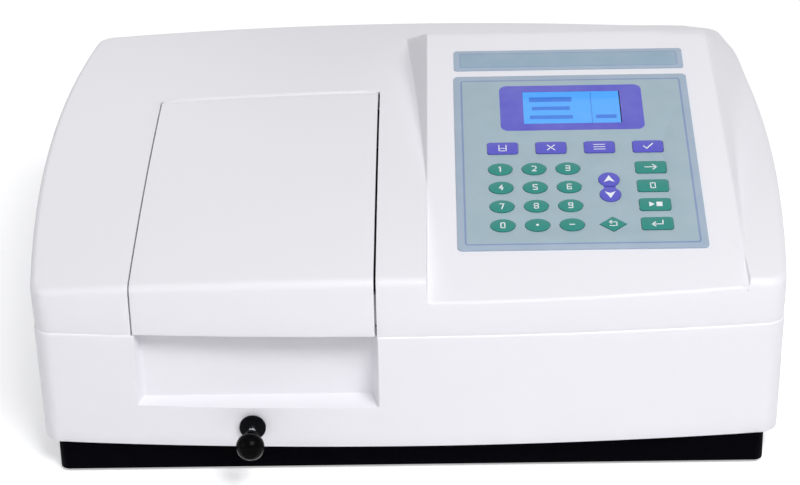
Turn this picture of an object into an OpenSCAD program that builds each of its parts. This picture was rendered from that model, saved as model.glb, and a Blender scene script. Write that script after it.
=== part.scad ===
// Benchtop spectrophotometer: white moulded case, hinged sample lid, sloping membrane keypad and a
// cell carriage on a pull rod. Millimetres. +Z up, the front with the keypad faces -Y, Z = 0 under the
// rubber feet, bounding box centred on X and Y.

// Node to build, or all of them

/* [Case] */
// Widest width of the case, at mid depth
body_w = 464; // [440:1:490]
// Depth of the case without the rod knob
body_d = 355.6; // [340:1:375]
// How far the front face bows out at the middle
front_bow = 11.8; // [6:0.1:14]
// How far each side bows out at mid depth
side_bow = 12; // [9:0.1:14]
// Height of the underside of the black base
base_z = 2; // [1.8:0.1:2.4]
// Height of the lower edge of the white housing
housing_z = 20.4; // [19:0.1:22]
// Height of the parting line between housing and cover
seam_z = 95.1; // [92:0.1:98]
// Height of the front crease at the middle of the case
crease_z = 132; // [129:0.1:135]
// Height of the cover's back edge at the middle of the case
back_z = 158.1; // [154:0.1:162]
// Bulge of the cover between its front and back edges
crown_d = 10.8; // [8:0.1:13]
// Drop of the cover from the middle to a front corner
crown_front = 11.8; // [9:0.1:13]
// Drop of the cover from the middle to a back corner
crown_back = 7.7; // [6:0.1:9]
// Rounding of the upright front corners
corner_front = 10; // [9.5:0.1:12]
// Rounding of the upright back corners
corner_back = 10; // [9.5:0.1:12]
// Rounding between the walls and the top of the cover
crease_r = 4.5; // [4:0.1:6]
// Thickness of the moulded walls
wall = 2.6; // [2.2:0.1:3]

/* [Sample lid] */
// Left edge of the lid opening
lid_left = -163.5; // [-167:0.1:-160]
// Right edge of the lid opening
lid_right = -18.2; // [-22:0.1:-16]
// Distance from the front of the case back to the hinge axis
hinge_back = 215.1; // [212:0.1:218]
// Radius of the rolled back edge of the lid
roll_r = 9.4; // [8.8:0.1:9.8]
// Gap around the lid
lid_gap = 1; // [0.6:0.1:1.2]
// Depth of the finger recess behind the lid's front flap
recess_d = 16; // [14.5:0.5:18]
// Height of the bottom of the finger recess
recess_z = 47.5; // [46.5:0.5:52]

/* [Console] */
// Slope of the flat keypad face, in degrees
console_slope = 17.22; // [16:0.1:18.5]
// Height of the keypad face at the very front
console_z0 = 117.4; // [115:0.1:119]
// Left edge of the keypad face at the front
console_left = 11.2; // [8:0.1:14]
// Right edge of the keypad face at the front
console_right = 200.8; // [198:0.1:203]
// Length of the keypad face up its slope
console_len = 253.5; // [245:0.5:257]
// Width of the keypad overlay
overlay_w = 149.4; // [147:0.1:152]
// Length of the keypad overlay
overlay_h = 163; // [161:0.5:165]
// Thickness of the overlay
overlay_t = 1; // [0.9:0.1:1.2]
// Pitch of the rows of small keys
key_pitch = 17; // [16.5:0.1:17.4]

/* [Sample compartment] */
// X position of the pull rod
rod_x = -93.9; // [-97:0.1:-90]
// Height of the pull rod
rod_z = 35.2; // [34.5:0.1:36.5]
// Diameter of the pull rod
rod_d = 5; // [4:0.5:6]
// How far the knob reaches out from the middle of the front
knob_reach = 29; // [27:0.5:32]
// Diameter of the knob
knob_d = 16.9; // [15:0.1:18]
// Pitch of the four cells in the carriage
cell_pitch = 17; // [16:0.5:17.5]
// Height of the light beam
beam_z = 58; // [56:0.5:60]

/* [Rear] */
// Outer size of the square fan frame
fan_w = 50; // [46:1:52]
// Diameter of the sweep of the fan blades
rotor_d = 44; // [40:0.5:44]

/* [Hidden] */
body_len = body_d + knob_reach;
front_y = knob_reach - body_len / 2;
back_y = body_len / 2;
corner_w = body_w / 2 - side_bow;
draft = 1;
// Share of the real width, depth and console length that the places inside and on the keypad face keep
across = body_w / 464;
along = body_d / 355.6;
up_face = console_len / 253.5;
slop = 0.05;
cut = 1;
press = 0.02;

hinge_y = front_y + hinge_back;
hinge_s = hinge_back / body_d;
hinge_z = crease_z + (back_z - crease_z) * hinge_s + 4 * crown_d * hinge_s * (1 - hinge_s) - roll_r;
opening_y = hinge_y + roll_r + 0.4;
recess_y = front_y + recess_d;
bulk_y = recess_y + wall;
hinge_pin_r = 2;

bench_top = 24;
bench_t = 4;
floor_t = 2;
tub_l = lid_left + 8.5;
tub_r = lid_right - 8.8;
tub_f = bulk_y + 6.7;
tub_b = opening_y - 13.6;
tub_wall = 2.5;
flange_z = 118;
flange_t = 2.5;
ledge = 4;
cell_w = 12.5;
cell_h = 45;
cell_base = beam_z - 15;
carriage_y0 = hinge_y - 83.8;
beam_y = carriage_y0 + 10.5;
carriage_len = 21 + 3 * cell_pitch;
window_r = 7;

base_x = corner_w - 6.8;
base_f = front_y + 10.8;
base_b = back_y - 6;
base_wall = 2;
boss_x = base_x - 11.5;
boss_yf = base_f + 20;
boss_yb = base_b - 20;
boss_r = 6;
screw_r = 2;

panel_y = back_y - 6.5;
panel_t = 1.5;
panel_l = 46 * across;
panel_r = 204 * across;
panel_w = panel_r - panel_l;
panel_b = 28;
panel_top = 92;
fan_x = panel_l + 119 / 158 * panel_w;
fan_z = 60;
inlet_x = panel_l + 32 / 158 * panel_w;
inlet_z = 48;
switch_x = panel_l + 68 / 158 * panel_w;
switch_z = 50;
port_x = panel_l + 38 / 158 * panel_w;
port_z = 77;

overlay_x = (console_left + console_right) / 2 - 1.3;
overlay_y = 124.6 * up_face;
lcd_x = overlay_x - 0.1;
lcd_y = overlay_y + 49.3 * up_face;
title_y = overlay_y + 98.1 * up_face;
row_y = overlay_y - 9.4 * up_face;
oval_x = overlay_x - 47.3;
oval_dx = 20.8;
arrow_x = overlay_x + 18.9;
rect_x = overlay_x + 45.3;
func_x = overlay_x - 45.3;
func_dx = 30.1;
func_y = overlay_y + 10.2 * up_face;
row_dy = key_pitch * up_face;
key_low = 0.5;
key_high = overlay_t + 0.4;

// Half the width of the case at a depth
function half_w(y) = let (s = (y - front_y) / body_d) corner_w + 4 * side_bow * s * (1 - s);
// Depth of the front face at a width
function face_y(x) = front_y + front_bow * pow(x / corner_w, 2);
// Height of the cover's outside
function top_z(x, y) = let (s = (y - front_y) / body_d)
    crease_z + (back_z - crease_z) * s + 4 * crown_d * s * (1 - s)
    - (crown_front + (crown_back - crown_front) * s) * pow(x / corner_w, 2);

front_a = atan(2 * front_bow / corner_w);
side_a = atan(4 * side_bow / body_d);
arc_fy = front_y + front_bow + corner_front - 1;
arc_fx = half_w(arc_fy) - corner_front * cos(side_a);
arc_by = back_y - corner_back;
arc_bx = half_w(arc_by) - corner_back * cos(side_a);
front_end = arc_fx + corner_front * sin(front_a);
side_f = arc_fy - corner_front * sin(side_a);
side_b = arc_by + corner_back * sin(side_a);

// Right half of the plan outline, front middle to back middle, as [x, y, outward x, outward y]
half_outline = concat(
    [for (i = [0:5]) let (x = front_end * i / 6, a = atan(2 * front_bow * x / pow(corner_w, 2)))
        [x, face_y(x), sin(a), -cos(a)]],
    [for (i = [0:4]) let (a = front_a - 90 + (90 - front_a - side_a) * i / 4)
        [arc_fx + corner_front * cos(a), arc_fy + corner_front * sin(a), cos(a), sin(a)]],
    [for (i = [1:6]) let (y = side_f + (side_b - side_f) * i / 7, s = (y - front_y) / body_d,
        a = -atan(4 * side_bow * (1 - 2 * s) / body_d)) [half_w(y), y, cos(a), sin(a)]],
    [for (i = [0:4]) let (a = side_a + (90 - side_a) * i / 4)
        [arc_bx + corner_back * cos(a), arc_by + corner_back * sin(a), cos(a), sin(a)]],
    [for (i = [1:4]) [arc_bx * (1 - i / 4), back_y, 0, 1]]);
half_n = len(half_outline);
outline = concat(half_outline,
    [for (i = [half_n - 2:-1:1]) let (p = half_outline[i]) [-p[0], p[1], -p[2], p[3]]]);
ring_n = len(outline);
mid_y = (front_y + back_y) / 2;

// One ring of the case, inset from the outline, flat at a height
function flat_ring(inset, z) = [for (p = outline) [p[0] - inset * p[2], p[1] - inset * p[3], z]];
// One ring of the cover, inset from the outline and below the cover's outside
function top_ring(inset, below) = [for (p = outline)
    let (x = p[0] - inset * p[2], y = p[1] - inset * p[3]) [x, y, top_z(x, y) - below]];
// One ring of the cover's middle, drawn in towards the centre
function mid_ring(inset, below, k) = [for (p = outline)
    let (x = (p[0] - inset * p[2]) * k, y = mid_y + (p[1] - inset * p[3] - mid_y) * k)
    [x, y, top_z(x, y) - below]];

// Closed body through a stack of rings
module loft(rings, peak) {
    n = ring_n;
    last = len(rings) - 1;
    points = concat([for (r = rings) each r], peak == undef ? [] : [peak]);
    sides = [for (k = [0:last - 1]) for (i = [0:n - 1])
        let (j = (i + 1) % n, a = k * n + i, b = k * n + j, c = a + n, d = b + n)
        each [[a, c, d], [a, d, b]]];
    top = peak == undef ? [[for (i = [n - 1:-1:0]) last * n + i]]
        : [for (i = [0:n - 1]) [last * n + (i + 1) % n, last * n + i, len(points) - 1]];
    polyhedron(points, concat([[for (i = [0:n - 1]) i]], sides, top));
}

// Solid of the cover, or of its hollow when t is the wall thickness
module cover_solid(t, z0) {
    r = crease_r - t;
    loft(concat([flat_ring(t, z0), top_ring(t, crease_r)],
        [for (a = [30, 60, 90]) top_ring(t + r * (1 - cos(a)), crease_r - r * sin(a))],
        [for (k = [0.8, 0.55, 0.28]) mid_ring(crease_r, t, k)]), [0, mid_y, top_z(0, mid_y) - t]);
}

// Six-sided body from a lower and an upper four-cornered face, each front left, front right, back right,
// back left
module block8(low, high) {
    polyhedron(concat(low, high),
        [[0, 1, 2, 3], [7, 6, 5, 4], [0, 4, 5, 1], [1, 5, 6, 2], [2, 6, 7, 3], [3, 7, 4, 0]]);
}

module bar(x0, x1, y0, y1, z0, z1) {
    translate([x0, y0, z0]) cube([x1 - x0, y1 - y0, z1 - z0]);
}

module rod_y(x, y0, y1, z, r) {
    translate([x, y0, z]) rotate([-90, 0, 0]) cylinder(h = y1 - y0, r = r, $fn = 48);
}

module rod_xx(x0, x1, y, z, r) {
    translate([x0, y, z]) rotate([0, 90, 0]) cylinder(h = x1 - x0, r = r, $fn = 48);
}

// Frame of the keypad face: x across, y up the slope, z out of the face
module on_console() {
    translate([0, front_y, console_z0]) rotate([console_slope, 0, 0]) children();
}

function edge_l(t) = console_left + 0.0075 * t;
function edge_r(t) = console_right - 0.017 * t;
draft_l = tan(15);
draft_r = tan(22);
draft_b = tan(49.2);

// Raised console body, inset by d on every face and kept inside the outline of the case
module console_wedge(d) {
    deep = 75;
    t0 = 26;
    t1 = console_len - d * 1.3;
    t2 = t1 + deep * draft_b;
    l = (deep - d) * draft_l - d * 1.1;
    r = (deep - d) * draft_r - d * 1.1;
    v = d * 1.1;
    intersection() {
        on_console() block8(
            [[edge_l(t0) - l, t0, -deep], [edge_r(t0) + r, t0, -deep], [edge_r(t2) + r, t2, -deep],
                [edge_l(t2) - l, t2, -deep]],
            [[edge_l(t0) + v, t0, -d], [edge_r(t0) - v, t0, -d], [edge_r(t1) - v, t1, -d],
                [edge_l(t1) + v, t1, -d]]);
        loft([flat_ring(d + 2, seam_z - cut), flat_ring(d + 2, back_z + 60)], undef);
    }
}

// Space above the keypad face, where the cover is cut away at the front
module console_space(d) {
    up = 60;
    t0 = -30;
    t1 = console_len - 10;
    l = (up + d) * tan(2);
    r = (up + d) * tan(15);
    on_console() block8(
        [[edge_l(t0) + 0.3 - d, t0, -d], [edge_r(t0) - 2 + d, t0, -d], [edge_r(t1) - 2 + d, t1, -d],
            [edge_l(t1) + 0.3 - d, t1, -d]],
        [[edge_l(t0) + 0.3 - d - l, t0, up], [edge_r(t0) - 2 + d + r, t0, up],
            [edge_r(t1) - 2 + d + r, t1, up], [edge_l(t1) + 0.3 - d - l, t1, up]]);
}

// Rounded rectangle about its centre
module rounded(w, h, r) {
    square([w - 2 * r, h], center = true);
    square([w, h - 2 * r], center = true);
    for (i = [-1, 1], j = [-1, 1]) translate([i * (w / 2 - r), j * (h / 2 - r)]) circle(r = r, $fn = 32);
}

// Outline of a number key, grown by g
module oval(g) {
    polygon([for (i = [0:27]) let (a = i * 360 / 28) [(7.5 + g) * cos(a), (5.5 + g) * sin(a)]]);
}

module diamond(g) {
    polygon([[-8.2 - g * 1.3, 0], [0, -6.4 - g * 1.3], [8.2 + g * 1.3, 0], [0, 6.4 + g * 1.3]]);
}

function number_at(i) = [oval_x + oval_dx * (i % 3), row_y - row_dy * floor(i / 3)];
function func_at(i) = [func_x + func_dx * i, func_y];
function side_at(i) = [rect_x, row_y - row_dy * i];
arrow_up_at = [arrow_x, row_y - 10.9 * up_face];
arrow_down_at = [arrow_x, row_y - 24.5 * up_face];
diamond_at = [arrow_x, row_y - 3 * row_dy];
arrow_r = 6.4 * up_face;

// Outlines of all keys, grown by g
module key_holes(g) {
    for (i = [0:3]) translate(func_at(i)) rounded(19 + 2 * g, 10.8 + 2 * g, 2);
    for (i = [0:3]) translate(side_at(i)) rounded(19 + 2 * g, 10.8 + 2 * g, 2);
    for (i = [0:11]) translate(number_at(i)) oval(g);
    translate(arrow_up_at) circle(r = arrow_r + g, $fn = 48);
    translate(arrow_down_at) circle(r = arrow_r + g, $fn = 48);
    translate(diamond_at) diamond(g);
}

// One key of the membrane, standing a little proud of the overlay
module key_at(p) {
    on_console() translate([p[0], p[1], key_low]) linear_extrude(key_high - key_low) children();
}

module function_key(i) {
    color("#6A67C9") key_at(func_at(i)) rounded(19, 10.8, 2);
}

module number_key(i) {
    color("#2E947A") key_at(number_at(i)) oval(0);
}

module side_key(i) {
    color("#2E947A") key_at(side_at(i)) rounded(19, 10.8, 2);
}

module arrow_up_key() {
    color("#6A67C9") key_at(arrow_up_at) circle(r = arrow_r, $fn = 48);
}

module arrow_down_key() {
    color("#6A67C9") key_at(arrow_down_at) circle(r = arrow_r, $fn = 48);
}

module diamond_key() {
    color("#2E947A") key_at(diamond_at) diamond(0);
}

// Positions of the four case screws
module at_bosses() {
    for (x = [-boss_x, boss_x], y = [boss_yf, boss_yb]) translate([x, y, 0]) children();
}

// Plan of the folded base, inset by d from its outside
module base_plan(d) {
    r = 6 - d;
    translate([0, (base_f + base_b) / 2]) rounded(2 * (base_x - d), base_b - base_f - 2 * d, r);
}

// Black base tray with straight sides, its rim under the flange of the housing
module base_tray() {
    h = housing_z - base_z;
    color("#20222A") difference() {
        translate([0, 0, base_z]) linear_extrude(h) base_plan(0);
        translate([0, 0, base_z + floor_t]) linear_extrude(h) base_plan(base_wall);
        at_bosses() translate([0, 0, base_z - cut])
            cylinder(h = floor_t + 2 * cut, r = screw_r + 0.2, $fn = 32);
        for (i = [0:9]) let (x = (60 + i * 12) * across)
            bar(x, x + 4, 70 * along, 120 * along, base_z - cut, base_z + floor_t + cut);
        for (i = [0:7]) let (x = (-150 + i * 12) * across)
            bar(x, x + 4, 70 * along, 120 * along, base_z - cut, base_z + floor_t + cut);
    }
}

// Four flat rubber feet, each round the head of a case screw
module rubber_feet() {
    color("#202020") at_bosses() difference() {
        cylinder(h = base_z, r1 = 9, r2 = 10, $fn = 48);
        translate([0, 0, -cut]) cylinder(h = base_z + 2 * cut, r = 4.6, $fn = 32);
    }
}

module case_screws() {
    head = 1.4;
    color("#A8ABAE") at_bosses() difference() {
        union() {
            translate([0, 0, base_z - head]) cylinder(h = head, r = 4, $fn = 32);
            translate([0, 0, base_z - head]) cylinder(h = seam_z + 14, r = screw_r, $fn = 32);
        }
        for (a = [0, 90]) rotate([0, 0, a]) bar(-2.2, 2.2, -0.4, 0.4, 0, base_z - head + 0.7);
    }
}

// Finger recess in the front of the lower housing, grown by d
module recess_space(d) {
    slant = 3.6;
    y0 = front_y - 4;
    zt = seam_z + 5;
    block8(
        [[lid_left - d - 1, y0, recess_z - d - 0.4], [lid_right + d + 1, y0, recess_z - d - 0.4],
            [lid_right + d - slant, recess_y + d, recess_z - d + 1.5],
            [lid_left - d + slant, recess_y + d, recess_z - d + 1.5]],
        [[lid_left - d - 1, y0, zt], [lid_right + d + 1, y0, zt], [lid_right + d - slant, recess_y + d, zt],
            [lid_left - d + slant, recess_y + d, zt]]);
}

// White lower housing: a drafted wall ring with screw bosses, a finger recess and a pad for the rear panel
module lower_housing() {
    color("#ECECF2") intersection() {
        loft([flat_ring(draft, housing_z), flat_ring(0, seam_z)], undef);
        difference() {
            union() {
                difference() {
                    bar(-body_w, body_w, front_y - cut, back_y + cut, housing_z - cut, seam_z + cut);
                    loft([flat_ring(draft + wall, housing_z - 2 * cut), flat_ring(wall, seam_z + 2 * cut)],
                        undef);
                }
                difference() {
                    bar(-body_w, body_w, front_y - cut, back_y + cut, housing_z - cut, housing_z + wall);
                    translate([0, 0, housing_z - 2 * cut]) linear_extrude(20) base_plan(base_wall + 2);
                }
                intersection() {
                    recess_space(wall);
                    bar(-body_w, body_w, front_y - cut, recess_y + 2 * wall, recess_z - 2 * wall,
                        seam_z + cut);
                }
                at_bosses() translate([0, 0, base_z + floor_t]) cylinder(h = seam_z, r = boss_r, $fn = 48);
                for (y = [boss_yf, boss_yb]) for (x = [-1, 1])
                    translate([x * (boss_x + 14), y, seam_z - 20]) cube([24, wall, 40], center = true);
                bar(panel_l - 6, panel_r + 6, panel_y - 3, back_y, panel_b - 4, seam_z);
                rod_y(rod_x, face_y(rod_x) + wall, face_y(rod_x) + 9, rod_z, 9);
            }
            recess_space(0);
            at_bosses() cylinder(h = seam_z + 2 * cut, r = screw_r + 0.3, $fn = 32);
            bar(panel_l, panel_r, panel_y, back_y + 2 * cut, panel_b, panel_top);
            bar(panel_l + 6, panel_r - 6, panel_y - 5, back_y, panel_b + 5, panel_top - 5);
            rod_y(rod_x, front_y - 2 * cut, face_y(rod_x) + 12, rod_z, 6.3);
            for (p = panel_holes) rod_y(p[0], panel_y - 4, panel_y + cut, p[1], 1.5 + press);
            for (i = [0:15]) let (x = (-180 + i * 12) * across)
                bar(x, x + 4, back_y - 8, back_y + cut, 34, 84);
        }
    }
    color("#ECECF2") difference() {
        at_bosses() translate([0, 0, base_z + floor_t])
            cylinder(h = housing_z - base_z - floor_t, r = boss_r, $fn = 48);
        at_bosses() cylinder(h = seam_z, r = screw_r + 0.3, $fn = 32);
    }
}

// White top cover: crowned shell, pit for the lid, raised console with its flat keypad face
module top_cover() {
    color("#ECECF2") difference() {
        union() {
            difference() {
                cover_solid(0, seam_z);
                console_space(0);
            }
            console_wedge(0);
        }
        difference() {
            union() {
                difference() {
                    cover_solid(wall, seam_z - cut);
                    console_space(wall);
                }
                console_wedge(wall);
            }
            bar(lid_left - wall, lid_right + wall, front_y, opening_y + wall, seam_z - 2 * cut, back_z + 40);
            at_bosses() translate([0, 0, seam_z]) cylinder(h = back_z, r = boss_r, $fn = 48);
        }
        bar(-body_w, body_w, front_y - cut, back_y + cut, 0, seam_z);
        bar(lid_left, lid_right, front_y - cut, recess_y, 0, back_z + 40);
        bar(lid_left, lid_right, recess_y - cut, opening_y, flange_z - flange_t, back_z + 40);
        bar(lid_left + ledge, lid_right - ledge, bulk_y, opening_y - ledge, 0, back_z);
        rod_xx(lid_left - wall - cut, lid_right + wall + cut, hinge_y, hinge_z, hinge_pin_r + press);
        at_bosses() cylinder(h = seam_z + 20, r = screw_r + press, $fn = 32);
        on_console() translate([lcd_x, lcd_y, -wall - cut]) linear_extrude(wall + 2 * cut)
            square([64, 34 * up_face], center = true);
    }
}

// White sample lid: top plate, front flap down to the parting line and a rolled back edge on the hinge pin
module sample_lid() {
    l = lid_left + lid_gap;
    r = lid_right - lid_gap;
    color("#ECECF2") difference() {
        union() {
            difference() {
                intersection() {
                    cover_solid(0, seam_z);
                    bar(l, r, front_y - cut, hinge_y, seam_z + 0.4, back_z + 40);
                }
                cover_solid(wall, seam_z - cut);
            }
            intersection() {
                cover_solid(0, seam_z);
                rod_xx(l, r, hinge_y, hinge_z, roll_r);
            }
        }
        rod_xx(l - cut, r + cut, hinge_y, hinge_z, hinge_pin_r + slop);
        bar(l - cut, r + cut, hinge_y - 40, hinge_y + roll_r + cut, hinge_z - 20, hinge_z - 6);
    }
}

// Black frame under the lid plate, closing on the chamber's flange
module lid_liner() {
    z0 = flange_z + 3;
    color("#26282C") intersection() {
        cover_solid(wall, seam_z);
        difference() {
            bar(lid_left + 7, lid_right - 7, bulk_y + 4, hinge_y - 14, z0, back_z);
            bar(lid_left + 10, lid_right - 10, bulk_y + 7, hinge_y - 17, z0 - cut, back_z);
        }
    }
}

module lid_light_seal() {
    color("#303030") difference() {
        bar(lid_left + 6, lid_right - 6, bulk_y + 3, hinge_y - 13, flange_z + 0.3, flange_z + 3);
        bar(lid_left + 11, lid_right - 11, bulk_y + 8, hinge_y - 18, flange_z, flange_z + 4);
    }
}

module lid_hinge_pin() {
    color("#B8BBBE") rod_xx(lid_left - wall, lid_right + wall, hinge_y, hinge_z, hinge_pin_r);
}

// Printed keypad overlay with an opening for each key and for the display window
module keypad_overlay() {
    color("#9FB3C3") on_console() linear_extrude(overlay_t) difference() {
        translate([overlay_x, overlay_y]) rounded(overlay_w, overlay_h * up_face, 3);
        key_holes(0.3);
        translate([lcd_x, lcd_y]) square([72.2, 40 * up_face + 0.2], center = true);
    }
}

module title_strip() {
    color("#A9B8C8") on_console() translate([overlay_x, title_y, 0]) linear_extrude(0.8)
        rounded(overlay_w - 1.1, 20 * up_face, 2);
}

module display_window() {
    color("#4F6CC0") on_console() translate([lcd_x, lcd_y, 0]) linear_extrude(overlay_t)
        square([72, 40 * up_face], center = true);
}

// Display module behind the window: glass cell, board and four stand-off blocks
module lcd_module() {
    color("#3A6EA8") on_console() {
        translate([lcd_x, lcd_y, -wall - 3]) linear_extrude(3) square([78, 44 * up_face], center = true);
        translate([lcd_x, lcd_y, -wall - 4.6]) linear_extrude(1.6) square([92, 56 * up_face], center = true);
        for (i = [-1, 1], j = [-1, 1]) translate([lcd_x + i * 43, lcd_y + j * 25 * up_face, -wall - 3])
            linear_extrude(3) square([5, 5], center = true);
    }
}

// Black collar screwed into the front wall round the rod
module rod_bushing() {
    y = face_y(rod_x);
    color("#17181C") difference() {
        union() {
            rod_y(rod_x, y - 2.5, y - 0.3, rod_z, 7.9);
            rod_y(rod_x, y - 0.5, y + 12, rod_z, 6.2);
        }
        rod_y(rod_x, y - 4, y + 14, rod_z, rod_d / 2 + slop);
    }
}

module pull_rod() {
    color("#C9CCCF") rod_y(rod_x, front_y - 14, carriage_y0 + 8, rod_z, rod_d / 2);
}

// Black knob: a shank opening into a domed head
module rod_knob() {
    reach = knob_reach;
    r = knob_d / 2;
    color("#101114") translate([rod_x, front_y, rod_z]) rotate([90, 0, 0]) difference() {
        rotate_extrude($fn = 64) polygon([[0, 9], [4.2, 9], [4.4, 12], [r - 1.6, 17.5], [r - 0.3, 19.5],
            [r, 21.5], [r - 0.4, 24], [r - 1.8, 26.4], [r - 4, reach - 0.7], [0, reach]]);
        translate([0, 0, 8]) cylinder(h = 6, r = rod_d / 2 + press, $fn = 48);
    }
}

// Four-cell carriage sliding on the floor ribs of the chamber
module cell_carriage() {
    y0 = carriage_y0;
    y1 = carriage_y0 + carriage_len;
    color("#2A2C31") difference() {
        union() {
            bar(rod_x - 22, rod_x + 22, y0, y1, bench_top + 5, bench_top + 8);
            bar(rod_x - 11, rod_x + 11, y0, y1, bench_top + 5, beam_z + 20);
        }
        for (i = [0:3]) let (y = beam_y + cell_pitch * i) {
            bar(rod_x - 6.4, rod_x + 6.4, y - 6.4, y + 6.4, cell_base, beam_z + 30);
            rod_xx(rod_x - 20, rod_x + 20, y, beam_z, 4);
        }
        rod_y(rod_x, y0 - cut, y0 + 8, rod_z, rod_d / 2 + press);
    }
}

// Four open glass cells standing in the carriage
module cuvettes() {
    color("#DCE9F0") for (i = [0:3]) let (y = beam_y + cell_pitch * i, h = cell_w / 2) difference() {
        bar(rod_x - h, rod_x + h, y - h, y + h, cell_base, cell_base + cell_h);
        bar(rod_x - h + 1.2, rod_x + h - 1.2, y - h + 1.2, y + h - 1.2, cell_base + 1.2,
            cell_base + cell_h + cut);
    }
}

// Black sample chamber: a tub with a flange that rests on the ledge of the cover's pit
module sample_chamber() {
    w = tub_wall;
    color("#1E2024") difference() {
        union() {
            bar(tub_l, tub_r, tub_f, tub_b, bench_top, flange_z - cut);
            bar(lid_left + 0.3, lid_right - 0.3, bulk_y + 0.3, opening_y - 0.3, flange_z - flange_t,
                flange_z);
        }
        difference() {
            bar(tub_l + w, tub_r - w, tub_f + w, tub_b - w, bench_top + w, flange_z + cut);
            for (x = [-18, 18])
                bar(rod_x + x - 2, rod_x + x + 2, tub_f + w, tub_b - w, bench_top, bench_top + 4.7);
        }
        rod_y(rod_x, tub_f - cut, tub_f + w + cut, rod_z, rod_d / 2 + slop);
        rod_xx(tub_l - cut, tub_r + cut, beam_y, beam_z, window_r);
    }
}

module chamber_windows() {
    color("#DCE9F0") for (x = [tub_l, tub_r - 2]) rod_xx(x, x + 2, beam_y, beam_z, window_r - press);
}

// Cast bench carrying the optics, on six legs standing on the base tray
module optical_bench() {
    x0 = -corner_w + 26;
    x1 = corner_w - 26;
    y0 = front_y + 21;
    y1 = back_y - 34;
    color("#9A9DA1") {
        bar(x0, x1, y0, y1, bench_top - bench_t, bench_top);
        for (x = [x0 + 20, 0, x1 - 20], y = [y0 + 20, y1 - 20]) translate([x, y, base_z + floor_t])
            cylinder(h = bench_top - bench_t - base_z - floor_t, r = 6, $fn = 32);
    }
}

// Hollow closed box on the bench
module case_box(x0, x1, y0, y1, z1, t) {
    difference() {
        bar(x0, x1, y0, y1, bench_top, z1);
        bar(x0 + t, x1 - t, y0 + t, y1 - t, bench_top + t, z1 - t);
    }
}

mono_l = tub_r + 5;
mono_r = mono_l + 134 / 247 * (corner_w - tub_r);
mono_b = back_y - 83.8 * along;
lamp_l = mono_r + 6;
lamp_r = corner_w - 30 * across;
lamp_w = lamp_r - lamp_l;
lamp_f = back_y - 133.8 * along;
lamp_b = back_y - 63.8 * along;
lamp_y = back_y - 103.8 * along;

module monochromator_box() {
    color("#2C2E33") difference() {
        case_box(mono_l, mono_r, beam_y - 48, mono_b, seam_z - 4, 3);
        rod_xx(mono_l - cut, mono_l + 3 + cut, beam_y, beam_z, 5);
        rod_xx(mono_r - 3 - cut, mono_r + cut, lamp_y, beam_z, 5);
    }
}

module lamp_house() {
    color("#B4B7BA") difference() {
        case_box(lamp_l, lamp_r, lamp_f, lamp_b, seam_z - 4, 2);
        rod_xx(lamp_l - cut, lamp_l + 2 + cut, lamp_y, beam_z, 6);
        for (i = [0:4]) let (x = lamp_l + (12 + i * 11) / 72 * lamp_w)
            bar(x, x + 5 / 72 * lamp_w, lamp_f + 10, lamp_b - 10, seam_z - 8, seam_z);
    }
}

// Halogen lamp: glass envelope on a round socket
module source_lamp() {
    color("#E6EDF2") translate([(lamp_l + lamp_r) / 2, lamp_y, bench_top + 2]) {
        cylinder(h = 18, r = 9, $fn = 32);
        translate([0, 0, 18]) cylinder(h = 22, r = 6, $fn = 32);
    }
}

module detector_module() {
    x1 = tub_l - 4;
    w = 37 / 65 * (corner_w + tub_l);
    color("#2F3136") difference() {
        bar(x1 - w, x1, beam_y - 25, beam_y + 25, bench_top, beam_z + 26);
        rod_xx(x1 - w / 4, x1 + cut, beam_y, beam_z, 5);
    }
}

// Main circuit board on posts, with its larger parts
module main_board() {
    x0 = 4;
    w = corner_w - 32 * across - x0;
    y0 = front_y + 26;
    y1 = front_y + 92;
    color("#2F6B46") {
        bar(x0, x0 + w, y0, y1, bench_top + 8, bench_top + 9.6);
        for (x = [x0 + 8, x0 + w - 8], y = [y0 + 8, y1 - 8]) translate([x, y, bench_top])
            cylinder(h = 8, r = 3, $fn = 24);
        for (i = [0:4]) let (x = x0 + (22 + i * 30) / 184 * w)
            bar(x, x + 18 / 184 * w, y0 + 14, y0 + 32, bench_top + 9.6, bench_top + 12);
        for (i = [0:3]) translate([x0 + (30 + i * 36) / 184 * w, y0 + 50, bench_top + 9.6])
            cylinder(h = 16, r = 6, $fn = 32);
    }
}

// Power supply: board, transformer, heat sink and two capacitors
module power_supply() {
    x0 = mono_r + 8;
    w = corner_w - 32 * across - x0;
    y0 = front_y + 106 * along;
    d = lamp_f - 19.8 * along - y0;
    u = w / 68;
    v = d / 96;
    z = bench_top + 3;
    color("#8C7A4A") {
        bar(x0, x0 + w, y0, y0 + d, bench_top, z);
        bar(x0 + 8 * u, x0 + 40 * u, y0 + 10 * v, y0 + 50 * v, z, z + 31);
        for (i = [46:4:62]) bar(x0 + i * u, x0 + (i + 2) * u, y0 + 8 * v, y0 + 88 * v, z, z + 27);
        for (i = [0:1]) translate([x0 + 24 * u, y0 + (62 + i * 20) * v, z])
            cylinder(h = 26, r = 8 * min(u, v), $fn = 32);
    }
}

function fan_holes() = [for (i = [-1, 1], j = [-1, 1]) [fan_x + i * fan_w * 0.4, fan_z + j * fan_w * 0.4]];
panel_holes = [for (x = [panel_l + 3, panel_r - 3], z = [panel_b + 3, panel_top - 3]) [x, z]];

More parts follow.
